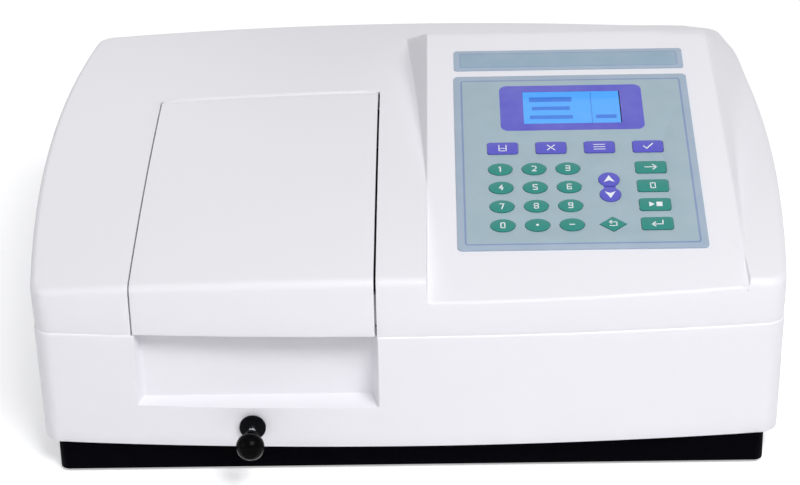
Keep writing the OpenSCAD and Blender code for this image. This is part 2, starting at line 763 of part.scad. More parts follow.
// Steel rear panel with openings for the inlet, switch, data port and fan
module rear_panel() {
    color("#C4C7CA") difference() {
        bar(panel_l + 0.3, panel_r - 0.3, panel_y, panel_y + panel_t, panel_b + 0.3, panel_top - 0.3);
        rod_y(fan_x, panel_y - cut, panel_y + panel_t + cut, fan_z, rotor_d / 2 + 1);
        for (p = concat(fan_holes(), panel_holes))
            rod_y(p[0], panel_y - cut, panel_y + panel_t + cut, p[1], 1.55);
        bar(inlet_x - 13.6, inlet_x + 13.6, panel_y - cut, panel_y + 2 * panel_t, inlet_z - 10.1,
            inlet_z + 10.1);
        bar(switch_x - 9.1, switch_x + 9.1, panel_y - cut, panel_y + 2 * panel_t, switch_z - 12.6,
            switch_z + 12.6);
        bar(port_x - 10.1, port_x + 10.1, panel_y - cut, panel_y + 2 * panel_t, port_z - 5.1, port_z + 5.1);
    }
}

// Eight small screws: four at the corners of the panel, four through the fan frame
module panel_screws() {
    y = panel_y + panel_t;
    color("#A8ABAE") for (i = [0:7]) let (p = concat(panel_holes, fan_holes())[i], head = i < 4 ? 0 : 1.5)
        difference() {
            union() {
                rod_y(p[0], panel_y - (i < 4 ? 2.5 : 14), y + head + 1, p[1], 1.5);
                rod_y(p[0], y + head, y + head + 1.6, p[1], 2.6);
            }
            translate([p[0] - 1.8, y + head + 1, p[1] - 0.35]) cube([3.6, 2, 0.7]);
        }
}

// Black mains inlet with a recess for the plug
module mains_inlet() {
    y = panel_y + panel_t;
    color("#141519") difference() {
        union() {
            bar(inlet_x - 17, inlet_x + 17, y, y + 2.2, inlet_z - 12.5, inlet_z + 12.5);
            bar(inlet_x - 13.5, inlet_x + 13.5, panel_y - 20, y + cut, inlet_z - 10, inlet_z + 10);
        }
        bar(inlet_x - 11.5, inlet_x + 11.5, panel_y - 14, y + 4, inlet_z - 8, inlet_z + 8);
        for (i = [-1, 0, 1]) bar(inlet_x + i * 7 - 1.1, inlet_x + i * 7 + 1.1, panel_y - 26, panel_y,
            inlet_z - (i == 0 ? -1 : 3) - 2.1, inlet_z - (i == 0 ? -1 : 3) + 2.1);
    }
}

module inlet_pins() {
    color("#C9CCCF") for (i = [-1, 0, 1])
        translate([inlet_x + i * 7 - 1, panel_y - 25, inlet_z - (i == 0 ? -1 : 3) - 2]) cube([2, 23, 4]);
}

rocker_y = panel_y + 0.2;

// Frame of the power switch, with the two pivot holes of the rocker
module switch_frame() {
    y = panel_y + panel_t;
    color("#141519") difference() {
        union() {
            bar(switch_x - 11, switch_x + 11, y, y + 1.6, switch_z - 14.5, switch_z + 14.5);
            bar(switch_x - 9, switch_x + 9, panel_y - 14, y + cut, switch_z - 12.5, switch_z + 12.5);
        }
        bar(switch_x - 7, switch_x + 7, panel_y - 12, y + 4, switch_z - 11, switch_z + 11);
        rod_xx(switch_x - 8.6, switch_x + 8.6, rocker_y - 3, switch_z, 1.2 + slop);
    }
}

// Rocker of the power switch with its pivot pins
module power_rocker() {
    color("#8E1F1F") {
        difference() {
            translate([switch_x - 6.6, 0, 0]) rotate([90, 0, 90]) linear_extrude(13.2) polygon([
                [rocker_y + 2.4, switch_z], [rocker_y + 4, switch_z + 10], [rocker_y - 4, switch_z + 8.5],
                [rocker_y - 7, switch_z], [rocker_y - 4, switch_z - 8.5], [rocker_y + 4, switch_z - 10]]);
            rod_xx(switch_x - 6, switch_x + 6, rocker_y - 3, switch_z, 0.6);
        }
        for (s = [-1, 1])
            rod_xx(switch_x + s * 7.45 - 0.95, switch_x + s * 7.45 + 0.95, rocker_y - 3, switch_z, 1.2);
    }
}

// Nine-pin data port
module data_port() {
    y = panel_y + panel_t;
    color("#B4B7BA") difference() {
        union() {
            bar(port_x - 15.5, port_x + 15.5, y, y + 0.8, port_z - 6.2, port_z + 6.2);
            bar(port_x - 10, port_x + 10, panel_y - 9, y + cut, port_z - 5, port_z + 5);
            bar(port_x - 8.5, port_x + 8.5, y, y + 3, port_z - 4.2, port_z + 4.2);
        }
        bar(port_x - 7.8, port_x + 7.8, y - 2, y + 4, port_z - 3.5, port_z + 3.5);
    }
}

// Square fan frame behind the panel, with a spider and the pin the rotor turns on
module fan_frame() {
    h = fan_w / 2;
    y0 = panel_y - 15;
    color("#1B1C20") {
        difference() {
            bar(fan_x - h, fan_x + h, y0, panel_y, fan_z - h, fan_z + h);
            rod_y(fan_x, y0 + 2, panel_y + cut, fan_z, rotor_d / 2 + 1);
            difference() {
                rod_y(fan_x, y0 - cut, y0 + 3, fan_z, rotor_d / 2 + 1);
                rod_y(fan_x, y0 - 2, y0 + 4, fan_z, 11);
                for (a = [45, 135]) translate([fan_x, y0 + 1, fan_z]) rotate([0, a, 0])
                    cube([rotor_d + 6, 6, 3], center = true);
            }
            for (p = fan_holes()) rod_y(p[0], y0 - cut, panel_y + cut, p[1], 1.55);
        }
        rod_y(fan_x, y0 + 1, y0 + 11, fan_z, 1.5);
    }
}

// Fan rotor: hub and seven pitched blades
module fan_rotor() {
    y0 = panel_y - 12.5;
    color("#25272C") difference() {
        union() {
            rod_y(fan_x, y0, y0 + 10, fan_z, 10);
            intersection() {
                rod_y(fan_x, y0 + 1, y0 + 10, fan_z, rotor_d / 2);
                for (i = [0:6]) translate([fan_x, y0 + 5.5, fan_z]) rotate([0, i * 360 / 7, 0])
                    rotate([35, 0, 0]) translate([8, -7, -0.6]) cube([rotor_d / 2, 14, 1.2]);
            }
        }
        rod_y(fan_x, y0 - cut, y0 + 9, fan_z, 1.5 + slop);
    }
}

// Wire finger guard over the fan opening
module fan_guard() {
    y = panel_y + panel_t + 0.75;
    h = fan_w * 0.4;
    color("#C9CCCF") translate([fan_x, y, fan_z]) {
        for (r = [7, 12, 17, 22]) rotate([90, 0, 0]) difference() {
            cylinder(h = 1.5, r = r + 0.75, center = true, $fn = 64);
            cylinder(h = 3, r = r - 0.75, center = true, $fn = 64);
        }
        for (a = [45, 135]) rotate([0, a, 0]) difference() {
            cube([h * 2.8284 - 4.4, 1.5, 1.5], center = true);
            cube([12.5, 3, 3], center = true);
        }
        for (i = [-1, 1], j = [-1, 1]) translate([i * h, 0, j * h]) rotate([90, 0, 0]) difference() {
            cylinder(h = 1.5, r = 3, center = true, $fn = 32);
            cylinder(h = 3, r = 1.55, center = true, $fn = 32);
        }
    }
}

base_tray();
rubber_feet();
case_screws();
lower_housing();
top_cover();
sample_lid();
lid_liner();
lid_light_seal();
lid_hinge_pin();
keypad_overlay();
title_strip();
display_window();
lcd_module();
function_key(0);  // function_key_1
function_key(1);  // function_key_2
function_key(2);  // function_key_3
function_key(3);  // function_key_4
number_key(0);  // number_key_1
number_key(1);  // number_key_2
number_key(2);  // number_key_3
number_key(3);  // number_key_4
number_key(4);  // number_key_5
number_key(5);  // number_key_6
number_key(6);  // number_key_7
number_key(7);  // number_key_8
number_key(8);  // number_key_9
number_key(9);  // number_key_10
number_key(10);  // number_key_11
number_key(11);  // number_key_12
arrow_up_key();
arrow_down_key();
diamond_key();
side_key(0);  // side_key_1
side_key(1);  // side_key_2
side_key(2);  // side_key_3
side_key(3);  // side_key_4
rod_bushing();
pull_rod();
rod_knob();
cell_carriage();
cuvettes();
sample_chamber();
chamber_windows();
optical_bench();
monochromator_box();
lamp_house();
source_lamp();
detector_module();
main_board();
power_supply();
rear_panel();
panel_screws();
mains_inlet();
inlet_pins();
switch_frame();
power_rocker();
data_port();
fan_frame();
fan_rotor();
fan_guard();
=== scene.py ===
import bpy, bmesh, math
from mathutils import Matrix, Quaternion, Vector


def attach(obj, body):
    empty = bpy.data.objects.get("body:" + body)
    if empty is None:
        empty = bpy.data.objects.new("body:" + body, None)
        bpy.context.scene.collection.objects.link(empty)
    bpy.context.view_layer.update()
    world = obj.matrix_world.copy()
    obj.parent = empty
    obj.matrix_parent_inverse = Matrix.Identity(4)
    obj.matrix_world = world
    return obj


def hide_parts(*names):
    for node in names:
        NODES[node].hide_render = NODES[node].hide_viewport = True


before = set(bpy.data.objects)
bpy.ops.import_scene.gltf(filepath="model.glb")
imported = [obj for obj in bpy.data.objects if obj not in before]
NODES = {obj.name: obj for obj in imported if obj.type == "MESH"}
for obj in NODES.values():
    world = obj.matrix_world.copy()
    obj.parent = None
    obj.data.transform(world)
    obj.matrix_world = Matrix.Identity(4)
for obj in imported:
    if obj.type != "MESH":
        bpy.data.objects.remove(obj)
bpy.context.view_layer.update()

# Lower housing. The real piece is one injection moulding in white ABS with a fine spark-eroded texture, open
# below and above, with a finger recess in its front wall. Four long screws hold it, which come up through the
# rubber feet.

BODY_W, BODY_D, FRONT_BOW, SIDE_BOW = 464.0, 355.6, 11.8, 12.0
FRONT_Y, BACK_Y = -163.3, 192.3
CORNER_W = BODY_W / 2 - SIDE_BOW
CORNER_R = 10.0
HOUSING_Z, SEAM_Z, DRAFT, WALL = 20.4, 95.1, 1.0, 2.6
LEDGE = 0.8
LID_LEFT, LID_RIGHT = -163.5, -18.2
RECESS_Y, RECESS_Z, RECESS_MARGIN = -147.3, 47.5, 2.0
RECESS_SIDE, RECESS_SILL, RECESS_AHEAD = 4.6, 1.9, 4.0
PANEL_L, PANEL_R, PANEL_B, PANEL_T, PANEL_Y = 46.0, 204.0, 28.0, 92.0, 185.8
VENT_N, VENT_PITCH, VENT_W, VENT_X, VENT_B, VENT_T = 16, 12, 4, -180, 34, 84
FRONT_RUN, SIDE_FRONT, SIDE_BACK, BACK_RUN_R, BACK_RUN_L = 210.9, -141, 181, 210.0, -200


def half_w(y):
    """Half the width of the case at this depth: the sides bulge."""
    s = (y - FRONT_Y) / BODY_D
    return CORNER_W + 4 * SIDE_BOW * s * (1 - s)


def face_y(x):
    """Place of the bowed front wall."""
    return FRONT_Y + FRONT_BOW * (x / CORNER_W) ** 2


def clamp(v):
    """The number held between 0 and 1."""
    return max(0.0, min(1.0, v))


def smin(a, b, k):
    """The lower of two heights, blended over k millimetres where they meet."""
    h = clamp(0.5 + 0.5 * (b - a) / k)
    return b * (1 - h) + a * h - k * h * (1 - h)


def smax(a, b, k):
    """The higher of two heights, blended in the same way."""
    return -smin(-a, -b, k)


def steps(a, b, n):
    """Both ends and the places between them that cut the way into n equal steps."""
    return [a + (b - a) * i / n for i in range(n + 1)]


def rounded(a, b):
    """Distances from a side and from the front or back, bent round the upright corner."""
    if a >= CORNER_R or b >= CORNER_R:
        return a, b
    rho = CORNER_R - min(a, b)
    if a < b:
        phi = math.pi / 4 * (CORNER_R - b) / (CORNER_R - a)
    else:
        phi = math.pi / 2 - math.pi / 4 * (CORNER_R - a) / max(CORNER_R - b, 1e-9)
    return CORNER_R - rho * math.cos(phi), CORNER_R - rho * math.sin(phi)


def linear(hex_colour):
    """Linear colour with an alpha of 1 from an sRGB hex code."""
    c = [int(hex_colour[i:i + 2], 16) / 255 for i in (1, 3, 5)]
    return tuple([x / 12.92 if x <= 0.04045 else ((x + 0.055) / 1.055) ** 2.4 for x in c] + [1.0])


def add(tree, kind, inputs=None, **settings):
    """One shader node with its settings; an input is a value or the socket that feeds it."""
    n = tree.nodes.new("ShaderNode" + kind)
    for k, v in settings.items():
        setattr(n, k, v)
    for k, v in (inputs or {}).items():
        if isinstance(v, bpy.types.NodeSocket):
            tree.links.new(v, n.inputs[k])
        else:
            n.inputs[k].default_value = v
    return n


def new_material(name):
    m = bpy.data.materials.new(name)
    m.use_nodes = True
    tree = m.node_tree
    shader = tree.nodes["Principled BSDF"]
    return m, tree, shader


def place(tree):
    return add(tree, "TexCoord").outputs["Object"]


def noise(tree, vector, period_mm, detail=3.0, rough=0.5):
    """Noise of a real size, for coordinates in metres."""
    size = 1000.0 / period_mm
    return add(tree, "TexNoise", {"Vector": vector, "Scale": size, "Detail": detail, "Roughness": rough})


def spread(tree, value, low, high, from_low=0.3, from_high=0.7):
    return add(tree, "MapRange", {"Value": value, "From Min": from_low, "From Max": from_high, "To Min": low,
                                  "To Max": high}).outputs["Result"]


def blend_colour(tree, factor, a, b):
    n = add(tree, "Mix", data_type="RGBA")
    for i, v in ((0, factor), (6, a), (7, b)):
        if isinstance(v, bpy.types.NodeSocket):
            tree.links.new(v, n.inputs[i])
        else:
            n.inputs[i].default_value = v
    return n.outputs[2]


def finish_material(name, colour, rough, grain_mm, grain_height, shade=0.94, metallic=0.0, specular=0.5,
                    swell_mm=60.0):
    """A surface slightly uneven in colour over centimetres, with a fine grain in height and gloss."""
    m, tree, shader = new_material(name)
    at = place(tree)
    base = linear(colour)
    dark = tuple([c * shade for c in base[:3]] + [1.0])
    slow = noise(tree, at, swell_mm, 2.0)
    grain = noise(tree, at, grain_mm, 4.0, 0.6)
    tree.links.new(blend_colour(tree, slow.outputs["Fac"], dark, base), shader.inputs["Base Color"])
    tree.links.new(spread(tree, grain.outputs["Fac"], rough - 0.05, rough + 0.06), shader.inputs["Roughness"])
    height = grain.outputs["Fac"]
    bump = add(tree, "Bump", {"Height": height, "Distance": grain_height / 1000.0, "Strength": 1.0})
    tree.links.new(bump.outputs["Normal"], shader.inputs["Normal"])
    shader.inputs["Metallic"].default_value = metallic
    shader.inputs["Specular IOR Level"].default_value = specular
    return m


def break_edges(obj, edge, segments, angle, sharp):
    """Small roundings on edges over this angle, and smooth shading that stops at sharper ones."""
    if edge:
        mod = obj.modifiers.new("edge", "BEVEL")
        mod.width, mod.segments = edge / 1000, segments
        mod.limit_method, mod.angle_limit = "ANGLE", math.radians(angle)
    mod = obj.modifiers.new("crease", "EDGE_SPLIT")
    mod.split_angle = math.radians(sharp)


def piece(name, verts, faces, material, body, replaces=(), thick=0.0, edge=0.0, sharp=40.0):
    """A mesh given in millimetres that rides on a CAD body, with its wall thickness as a modifier."""
    mesh = bpy.data.meshes.new(name)
    mesh.from_pydata([(x / 1000, y / 1000, z / 1000) for x, y, z in verts], [], faces)
    bm = bmesh.new()
    bm.from_mesh(mesh)
    bmesh.ops.remove_doubles(bm, verts=bm.verts, dist=1e-6)
    bmesh.ops.dissolve_degenerate(bm, edges=bm.edges, dist=1e-7)
    bm.to_mesh(mesh)
    bm.free()
    mesh.polygons.foreach_set("use_smooth", [True] * len(mesh.polygons))
    mesh.update()
    obj = bpy.data.objects.new(name, mesh)
    bpy.context.scene.collection.objects.link(obj)
    mesh.materials.append(material)
    if thick:
        mod = obj.modifiers.new("wall", "SOLIDIFY")
        mod.thickness, mod.offset, mod.use_even_offset = thick / 1000, -1.0, False
    break_edges(obj, edge, 3, 50, sharp)
    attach(obj, body)
    if replaces:
        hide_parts(*replaces)


white_abs = finish_material("white ABS, spark-eroded mould texture", "#EFEEF3", 0.42, 0.55, 0.012,
                            shade=0.985, specular=0.35, swell_mm=140.0)


def settle(ax, ay):
    """Plan point from a side and the distance in from it, and an end and the distance in from that."""
    (side, a), (end, b) = ax, ay
    a, b = rounded(a, b)
    x, y = side * (CORNER_W - a), (FRONT_Y if end < 0 else BACK_Y)
    for _ in range(5):
        y = face_y(x) + b if end < 0 else BACK_Y - b
        x = side * (half_w(y) - a)
    return x, y


def recess_depth(x, z, y_face):
    """Front surface of the housing with the finger recess: a flat back, drafted sides and a narrow sill."""
    start = FRONT_Y - RECESS_AHEAD
    run = RECESS_Y - start
    left = start + (x - (LID_LEFT - 1)) * run / RECESS_SIDE
    right = start + ((LID_RIGHT + 1) - x) * run / RECESS_SIDE
    low = start + (z - (RECESS_Z - 0.4)) * run / RECESS_SILL
    floor = smin(smin(RECESS_Y, left, 5.0), smin(RECESS_Y, right, 5.0), 0.01)
    return smax(y_face, smin(floor, low, 4.0), 2.0)


def housing():
    """The shell as level rings of the plan outline, which draw in toward the foot and at both rims."""
    recess_l = steps(LID_LEFT - RECESS_MARGIN, LID_LEFT + 6, 16)
    recess_r = steps(LID_RIGHT - 6, LID_RIGHT + RECESS_MARGIN, 16)
    front_x = steps(-FRONT_RUN, recess_l[0], 8)[1:-1] + recess_l + steps(recess_l[-1], recess_r[0], 22)[1:-1]
    front_x += recess_r + steps(recess_r[-1], FRONT_RUN, 30)[1:-1]
    side_y = steps(SIDE_FRONT, SIDE_BACK, 22)
    slots = [VENT_X + VENT_PITCH * i + edge for i in range(VENT_N) for edge in (0, VENT_W)]
    back_x = [BACK_RUN_R, PANEL_R] + steps(PANEL_R - 0.3, PANEL_L + 0.3, 20) + [PANEL_L, 24]
    back_x += slots[::-1] + [BACK_RUN_L]
    turn = [CORNER_R * (1 - math.tan(math.radians(a))) for a in steps(45, 0, 5)]

    def corner(side, end, x_first):
        """Columns round one upright corner, in the order in which the outline is walked."""
        along_x = [("corner", (side, d), (end, 0)) for d in turn]
        along_y = [("corner", (side, 0), (end, d)) for d in turn]
        near, far = (along_x, along_y) if x_first else (along_y, along_x)
        return near[::-1][:-1] + far

    cols = [("front", x) for x in front_x] + corner(1, -1, True) + [("side", 1, y) for y in side_y]
    cols += corner(1, 1, False) + [("back", x) for x in back_x] + corner(-1, 1, True)
    cols += [("side", -1, y) for y in side_y[::-1]] + corner(-1, -1, False)
    foot = [(HOUSING_Z, 20.0), (HOUSING_Z, 0.6), (HOUSING_Z + 0.18, 0.18), (HOUSING_Z + 0.6, 0.0)]
    plain = [PANEL_B, PANEL_B + 0.3, VENT_B, 40] + steps(45.5, 52, 14) + steps(56, 80, 6)
    plain += [VENT_T, 88, PANEL_T - 0.3, PANEL_T]
    rim = [(SEAM_Z - 1.2, 0.0), (SEAM_Z - 0.7, 0.12), (SEAM_Z - 0.3, 0.38), (SEAM_Z, LEDGE)]
    levels = foot + [(z, 0.0) for z in plain] + rim
    points = []
    for c in cols:
        if c[0] == "front":
            points.append((c[1], face_y(c[1])))
        elif c[0] == "side":
            points.append((c[1] * half_w(c[2]), c[2]))
        elif c[0] == "back":
            points.append((c[1], BACK_Y))
        else:
            points.append(settle(c[1], c[2]))
    n = len(points)
    verts, faces, normals = [], [], []
    for i in range(n):
        (x0, y0), (x1, y1) = points[i - 1], points[(i + 1) % n]
        t = Vector((x1 - x0, y1 - y0)).normalized()
        normals.append((t.y, -t.x))
    for z, inset in levels:
        pull = inset + DRAFT * (SEAM_Z - z) / (SEAM_Z - HOUSING_Z)
        for c, (x, y), (nx, ny) in zip(cols, points, normals):
            px, py = x - nx * pull, y - ny * pull
            by_recess = LID_LEFT - RECESS_MARGIN - 0.1 < x < LID_RIGHT + RECESS_MARGIN + 0.1
            if c[0] == "front" and by_recess and z > RECESS_Z - 3.5:
                py = recess_depth(px, min(z, 80), py)
            if c[0] == "back" and PANEL_L < x < PANEL_R and PANEL_B < z < PANEL_T:
                py = PANEL_Y
            verts.append((px, py, z))
    for k in range(len(levels) - 1):
        middle = (levels[k][0] + levels[k + 1][0]) / 2
        for i in range(n):
            j = (i + 1) % n
            slot = cols[i][0] == cols[j][0] == "back" and cols[j][1] in slots[::2]
            if not (slot and VENT_B < middle < VENT_T):
                faces.append([k * n + i, k * n + j, (k + 1) * n + j, (k + 1) * n + i])
    return verts, faces


verts, faces = housing()
piece("lower_housing_moulding", verts, faces, white_abs, "chassis", ["lower_housing"],
      thick=WALL, edge=0.3)

# Top cover. The real piece is one injection moulding in the same white ABS, crowned over its top, with a pit
# for the sample lid on the left and a drafted console moulded into its right. It stands on the housing along
# the parting line.

CREASE_Z, BACK_Z, CROWN_D, CROWN_F, CROWN_B, CREASE_R = 132.0, 158.1, 10.8, 11.8, 7.7, 4.5
CONSOLE_Z0, CONSOLE_LEN = 117.4, 253.5
SLOPE = math.radians(17.22)
EDGE_L, EDGE_L_TAPER, EDGE_R, EDGE_R_TAPER = 11.2, 0.0075, 200.8, 0.017
LEAN_Z = 112.0
DRAFT_L, DRAFT_R, CUT_L, CUT_R = [math.tan(math.radians(a)) for a in (15, 28, 2, 8)]
BACK_FALL, HIP_X, HIP_FALL, HIP_RUN = 0.437, 194.0, 0.65, 8.0
RIDGE_R, RIDGE_MORE, RIDGE_HIP, FOOT_R, FOOT_MORE = 3.0, 5.0, 9.0, 3.0, 14.0
HINGE_Y, HINGE_Z, ROLL_R = 51.8, 148.713, 9.4
OPENING_Y = HINGE_Y + ROLL_R + 0.4
FLANGE_Z, FLANGE_W, SWING = 115.5, 4.0, 2.8
CONSOLE_BACK = FRONT_Y + CONSOLE_LEN * math.cos(SLOPE)
WINDOW_X, WINDOW_T, WINDOW_W, WINDOW_H = 104.6, 173.9, 36, 21
WINDOW_Y = FRONT_Y + WINDOW_T * math.cos(SLOPE)


def lean(z):
    """How far the wall above the parting line leans in, so that the housing's rim stands out as a ledge."""
    return LEDGE * (max(0.0, LEAN_Z - z) / (LEAN_Z - SEAM_Z)) ** 2


def top_z(x, y):
    """Height of the crowned top, before its edge is rounded."""
    s = (y - FRONT_Y) / BODY_D
    return CREASE_Z + (BACK_Z - CREASE_Z) * s + 4 * CROWN_D * s * (1 - s) \
        - (CROWN_F + (CROWN_B - CROWN_F) * s) * (x / CORNER_W) ** 2


def console_z(y):
    """Height of the sloping keypad face."""
    return CONSOLE_Z0 + (y - FRONT_Y) * math.tan(SLOPE)


def edge_l(y):
    """Left edge of the keypad face."""
    return EDGE_L + EDGE_L_TAPER * (y - FRONT_Y) / math.cos(SLOPE)


def edge_r(y):
    """Right edge of the keypad face."""
    return EDGE_R - EDGE_R_TAPER * (y - FRONT_Y) / math.cos(SLOPE)


def quarter(d, r):
    """Drop of a quarter round of radius r at distance d in from the wall."""
    return r - math.sqrt(max(0.0, r * r - (r - d) ** 2)) if d < r else 0.0


def cover_z(x, y, d):
    """Outside of the top cover at a plan point that lies d inside the outline."""
    crown = top_z(x, y) - quarter(d, CREASE_R)
    face = console_z(y)
    left = face + (x - edge_l(y)) / (DRAFT_L * math.cos(SLOPE))
    right = face + (edge_r(y) - x) / (DRAFT_R * math.cos(SLOPE))
    out = max(0.0, x - HIP_X)
    back = console_z(CONSOLE_BACK) - (y - CONSOLE_BACK) * BACK_FALL - HIP_FALL * out * out / (out + HIP_RUN)
    ridge = RIDGE_R + RIDGE_MORE * clamp((x - 160) / 20) + RIDGE_HIP * clamp((x - HIP_X) / 9)
    body = smin(smin(smin(left, right, 0.01), face, 2.5), back, ridge)
    cut_l = face + (edge_l(y) + 0.3 - x) / CUT_L
    cut_r = face + (x - edge_r(y) + 1) / (CUT_R * math.cos(SLOPE))
    floor = smax(face, smax(cut_l, cut_r, 0.01), 1.5)
    foot = FOOT_R + FOOT_MORE * clamp((x - 120) / 60) * clamp((y + 40) / 90)
    lowered = body - min(foot, max(0.0, crown - face))
    z = smax(smin(crown, floor, 1.0), lowered, foot)
    inside = clamp(min((x - edge_l(y) - 1.2) / 2.0, (edge_r(y) - 2.5 - x) / 4, (CONSOLE_BACK - 2.5 - y) / 3))
    inside = inside * inside * (3 - 2 * inside)
    return z * (1 - inside) + (face - quarter(d, 1.6)) * inside


LIP, LIP_DROP = 1.8, 2.1
BEND = [0, 0.03, 0.15, 0.34, 0.6, 0.93, 1.32, 1.9, 2.7, 3.5, 4.5, 7, 10]
BY_EDGE = [-1.0, -0.5, -0.2, 0.05, 0.3, 0.5, 0.8, 1.2, 1.8, 2.5, 3.5, 5.0, 7.0]
NEAR_L, NEAR_R, EDGE_D, FOOT_W, FOOT_W_MORE, BACK_ROWS_Y = 15, 6, BEND[-1], 9.2, 4.5, 112


def cover_grid():
    """Columns and rows of the cover's grid, closest where it bends, with the plan point of each crossing."""
    cols = [("left side", d) for d in BEND]
    cols += [("to lid", u) for u in steps(0, 1, 8)[1:-1]]
    cols += [("lid", x) for x in steps(LID_LEFT, LID_RIGHT, 24)]
    cols += [("lid to console", u) for u in steps(0, 1, 3)[1:-1]]
    cols += [("console left", o) for o in steps(-NEAR_L, -1.5, 18) + BY_EDGE]
    cols += [("console", u) for u in steps(0, 1, 24)[1:-1]]
    cols += [("console right", o) for o in steps(-NEAR_R, 0, 9)]
    cols += [("console foot", u) for u in steps(0, 1, 14)[1:]]
    cols += [("to right side", u) for u in steps(0, 1, 3)[1:-1]]
    cols += [("right side", d) for d in BEND[::-1]]
    rows = [("front", d) for d in BEND] + [("opening", u) for u in steps(0, 1, 50)[1:]]
    rows += [("depth", y) for y in steps(OPENING_Y + LIP, CONSOLE_BACK - 5, 3)[:-1]]
    rows += [("depth", y) for y in steps(CONSOLE_BACK - 5, CONSOLE_BACK + 5, 14)]
    rows += [("depth", y) for y in steps(CONSOLE_BACK + 5, BACK_ROWS_Y, 7)[1:-1]]
    rows += [("depth", y) for y in steps(BACK_ROWS_Y, BACK_Y - EDGE_D, 40)[:-1]]
    rows += [("back", d) for d in BEND[::-1]]

    def grid_point(column, row):
        x, y = 0.0, 0.0
        (kind, u), (row_kind, v) = column, row
        a = u if kind in ("left side", "right side") else math.inf
        b = v if row_kind in ("front", "back") else math.inf
        ra, rb = rounded(a, b)
        for _ in range(6):
            if row_kind == "front":
                y = face_y(x) + rb
            elif row_kind == "back":
                y = BACK_Y - rb
            elif row_kind == "depth":
                y = v
            else:
                y = face_y(x) + EDGE_D + (OPENING_Y - face_y(x) - EDGE_D) * v
            s = (y - FRONT_Y) / BODY_D
            outer = FOOT_W + FOOT_W_MORE * s
            if kind == "left side":
                x = -half_w(y) + ra
            elif kind == "right side":
                x = half_w(y) - ra
            elif kind == "lid":
                x = u
            elif kind == "to lid":
                x = (-half_w(y) + EDGE_D) * (1 - u) + LID_LEFT * u
            elif kind == "lid to console":
                x = LID_RIGHT * (1 - u) + (edge_l(y) - NEAR_L) * u
            elif kind == "console left":
                x = edge_l(y) + u
            elif kind == "console":
                x = (edge_l(y) + BY_EDGE[-1]) * (1 - u) + (edge_r(y) - NEAR_R) * u
            elif kind == "console right":
                x = edge_r(y) + u
            elif kind == "console foot":
                x = edge_r(y) + outer * u
            else:
                x = (edge_r(y) + outer) * (1 - u) + (half_w(y) - EDGE_D) * u
        return x, y, min(a, b)

    return cols, rows, [[grid_point(c, r) for c in cols] for r in rows]


def cover():
    """The cover's skin: the grid less the lid's opening and the window, and the wall under its rim."""
    cols, rows, plan = cover_grid()
    nc, nr = len(cols), len(rows)
    verts, faces = [], []
    for row in plan:
        verts += [(x, y, cover_z(x, y, min(d, 50))) for x, y, d in row]
    lid_c = [i for i, c in enumerate(cols) if c[0] == "lid"]
    hole_r = max(j for j, r in enumerate(rows) if r[0] == "opening")
    for i in lid_c[1:-1]:
        x, y, z = verts[hole_r * nc + i]
        verts[hole_r * nc + i] = (x, y, z - LIP_DROP)
    for j in range(nr - 1):
        for i in range(nc - 1):
            (xa, ya, _), (xb, yb, _) = verts[j * nc + i], verts[(j + 1) * nc + i + 1]
            window = abs((xa + xb) / 2 - WINDOW_X) < WINDOW_W and abs((ya + yb) / 2 - WINDOW_Y) < WINDOW_H
            if not (window or i in lid_c[:-1] and j < hole_r):
                faces.append([j * nc + i, j * nc + i + 1, (j + 1) * nc + i + 1, (j + 1) * nc + i])
    rim = list(range(nc)) + [j * nc + nc - 1 for j in range(1, nr)]
    rim += [(nr - 1) * nc + i for i in range(nc - 2, -1, -1)] + [j * nc for j in range(nr - 2, 0, -1)]
    n = len(rim)
    outward = []
    for i in range(n):
        a, b = verts[rim[i - 1]], verts[rim[(i + 1) % n]]
        t = Vector((b[0] - a[0], b[1] - a[1])).normalized()
        outward.append((t.y, -t.x))
    rings = [rim]
    for z in steps(LEAN_Z, SEAM_Z, 5):
        rings.append([len(verts) + i for i in range(n)])
        for (nx, ny), v in zip(outward, rim):
            verts.append((verts[v][0] - nx * lean(z), verts[v][1] - ny * lean(z), z))
    for upper, lower in zip(rings, rings[1:]):
        for i in range(n):
            j = (i + 1) % n
            if i not in lid_c[:-1]:
                faces.append([lower[i], lower[j], upper[j], upper[i]])
    return verts, faces


def box_faces(x0, x1, y0, y1, z0, z1, verts, faces):
    """Adds the corners and sides of one box to a mesh's lists."""
    n = len(verts)
    verts += [(x, y, z) for z in (z0, z1) for y in (y0, y1) for x in (x0, x1)]
    sides = ((0, 2, 3, 1), (4, 5, 7, 6), (0, 1, 5, 4), (1, 3, 7, 5), (3, 2, 6, 7), (2, 0, 4, 6))
    faces += [[n + i for i in f] for f in sides]


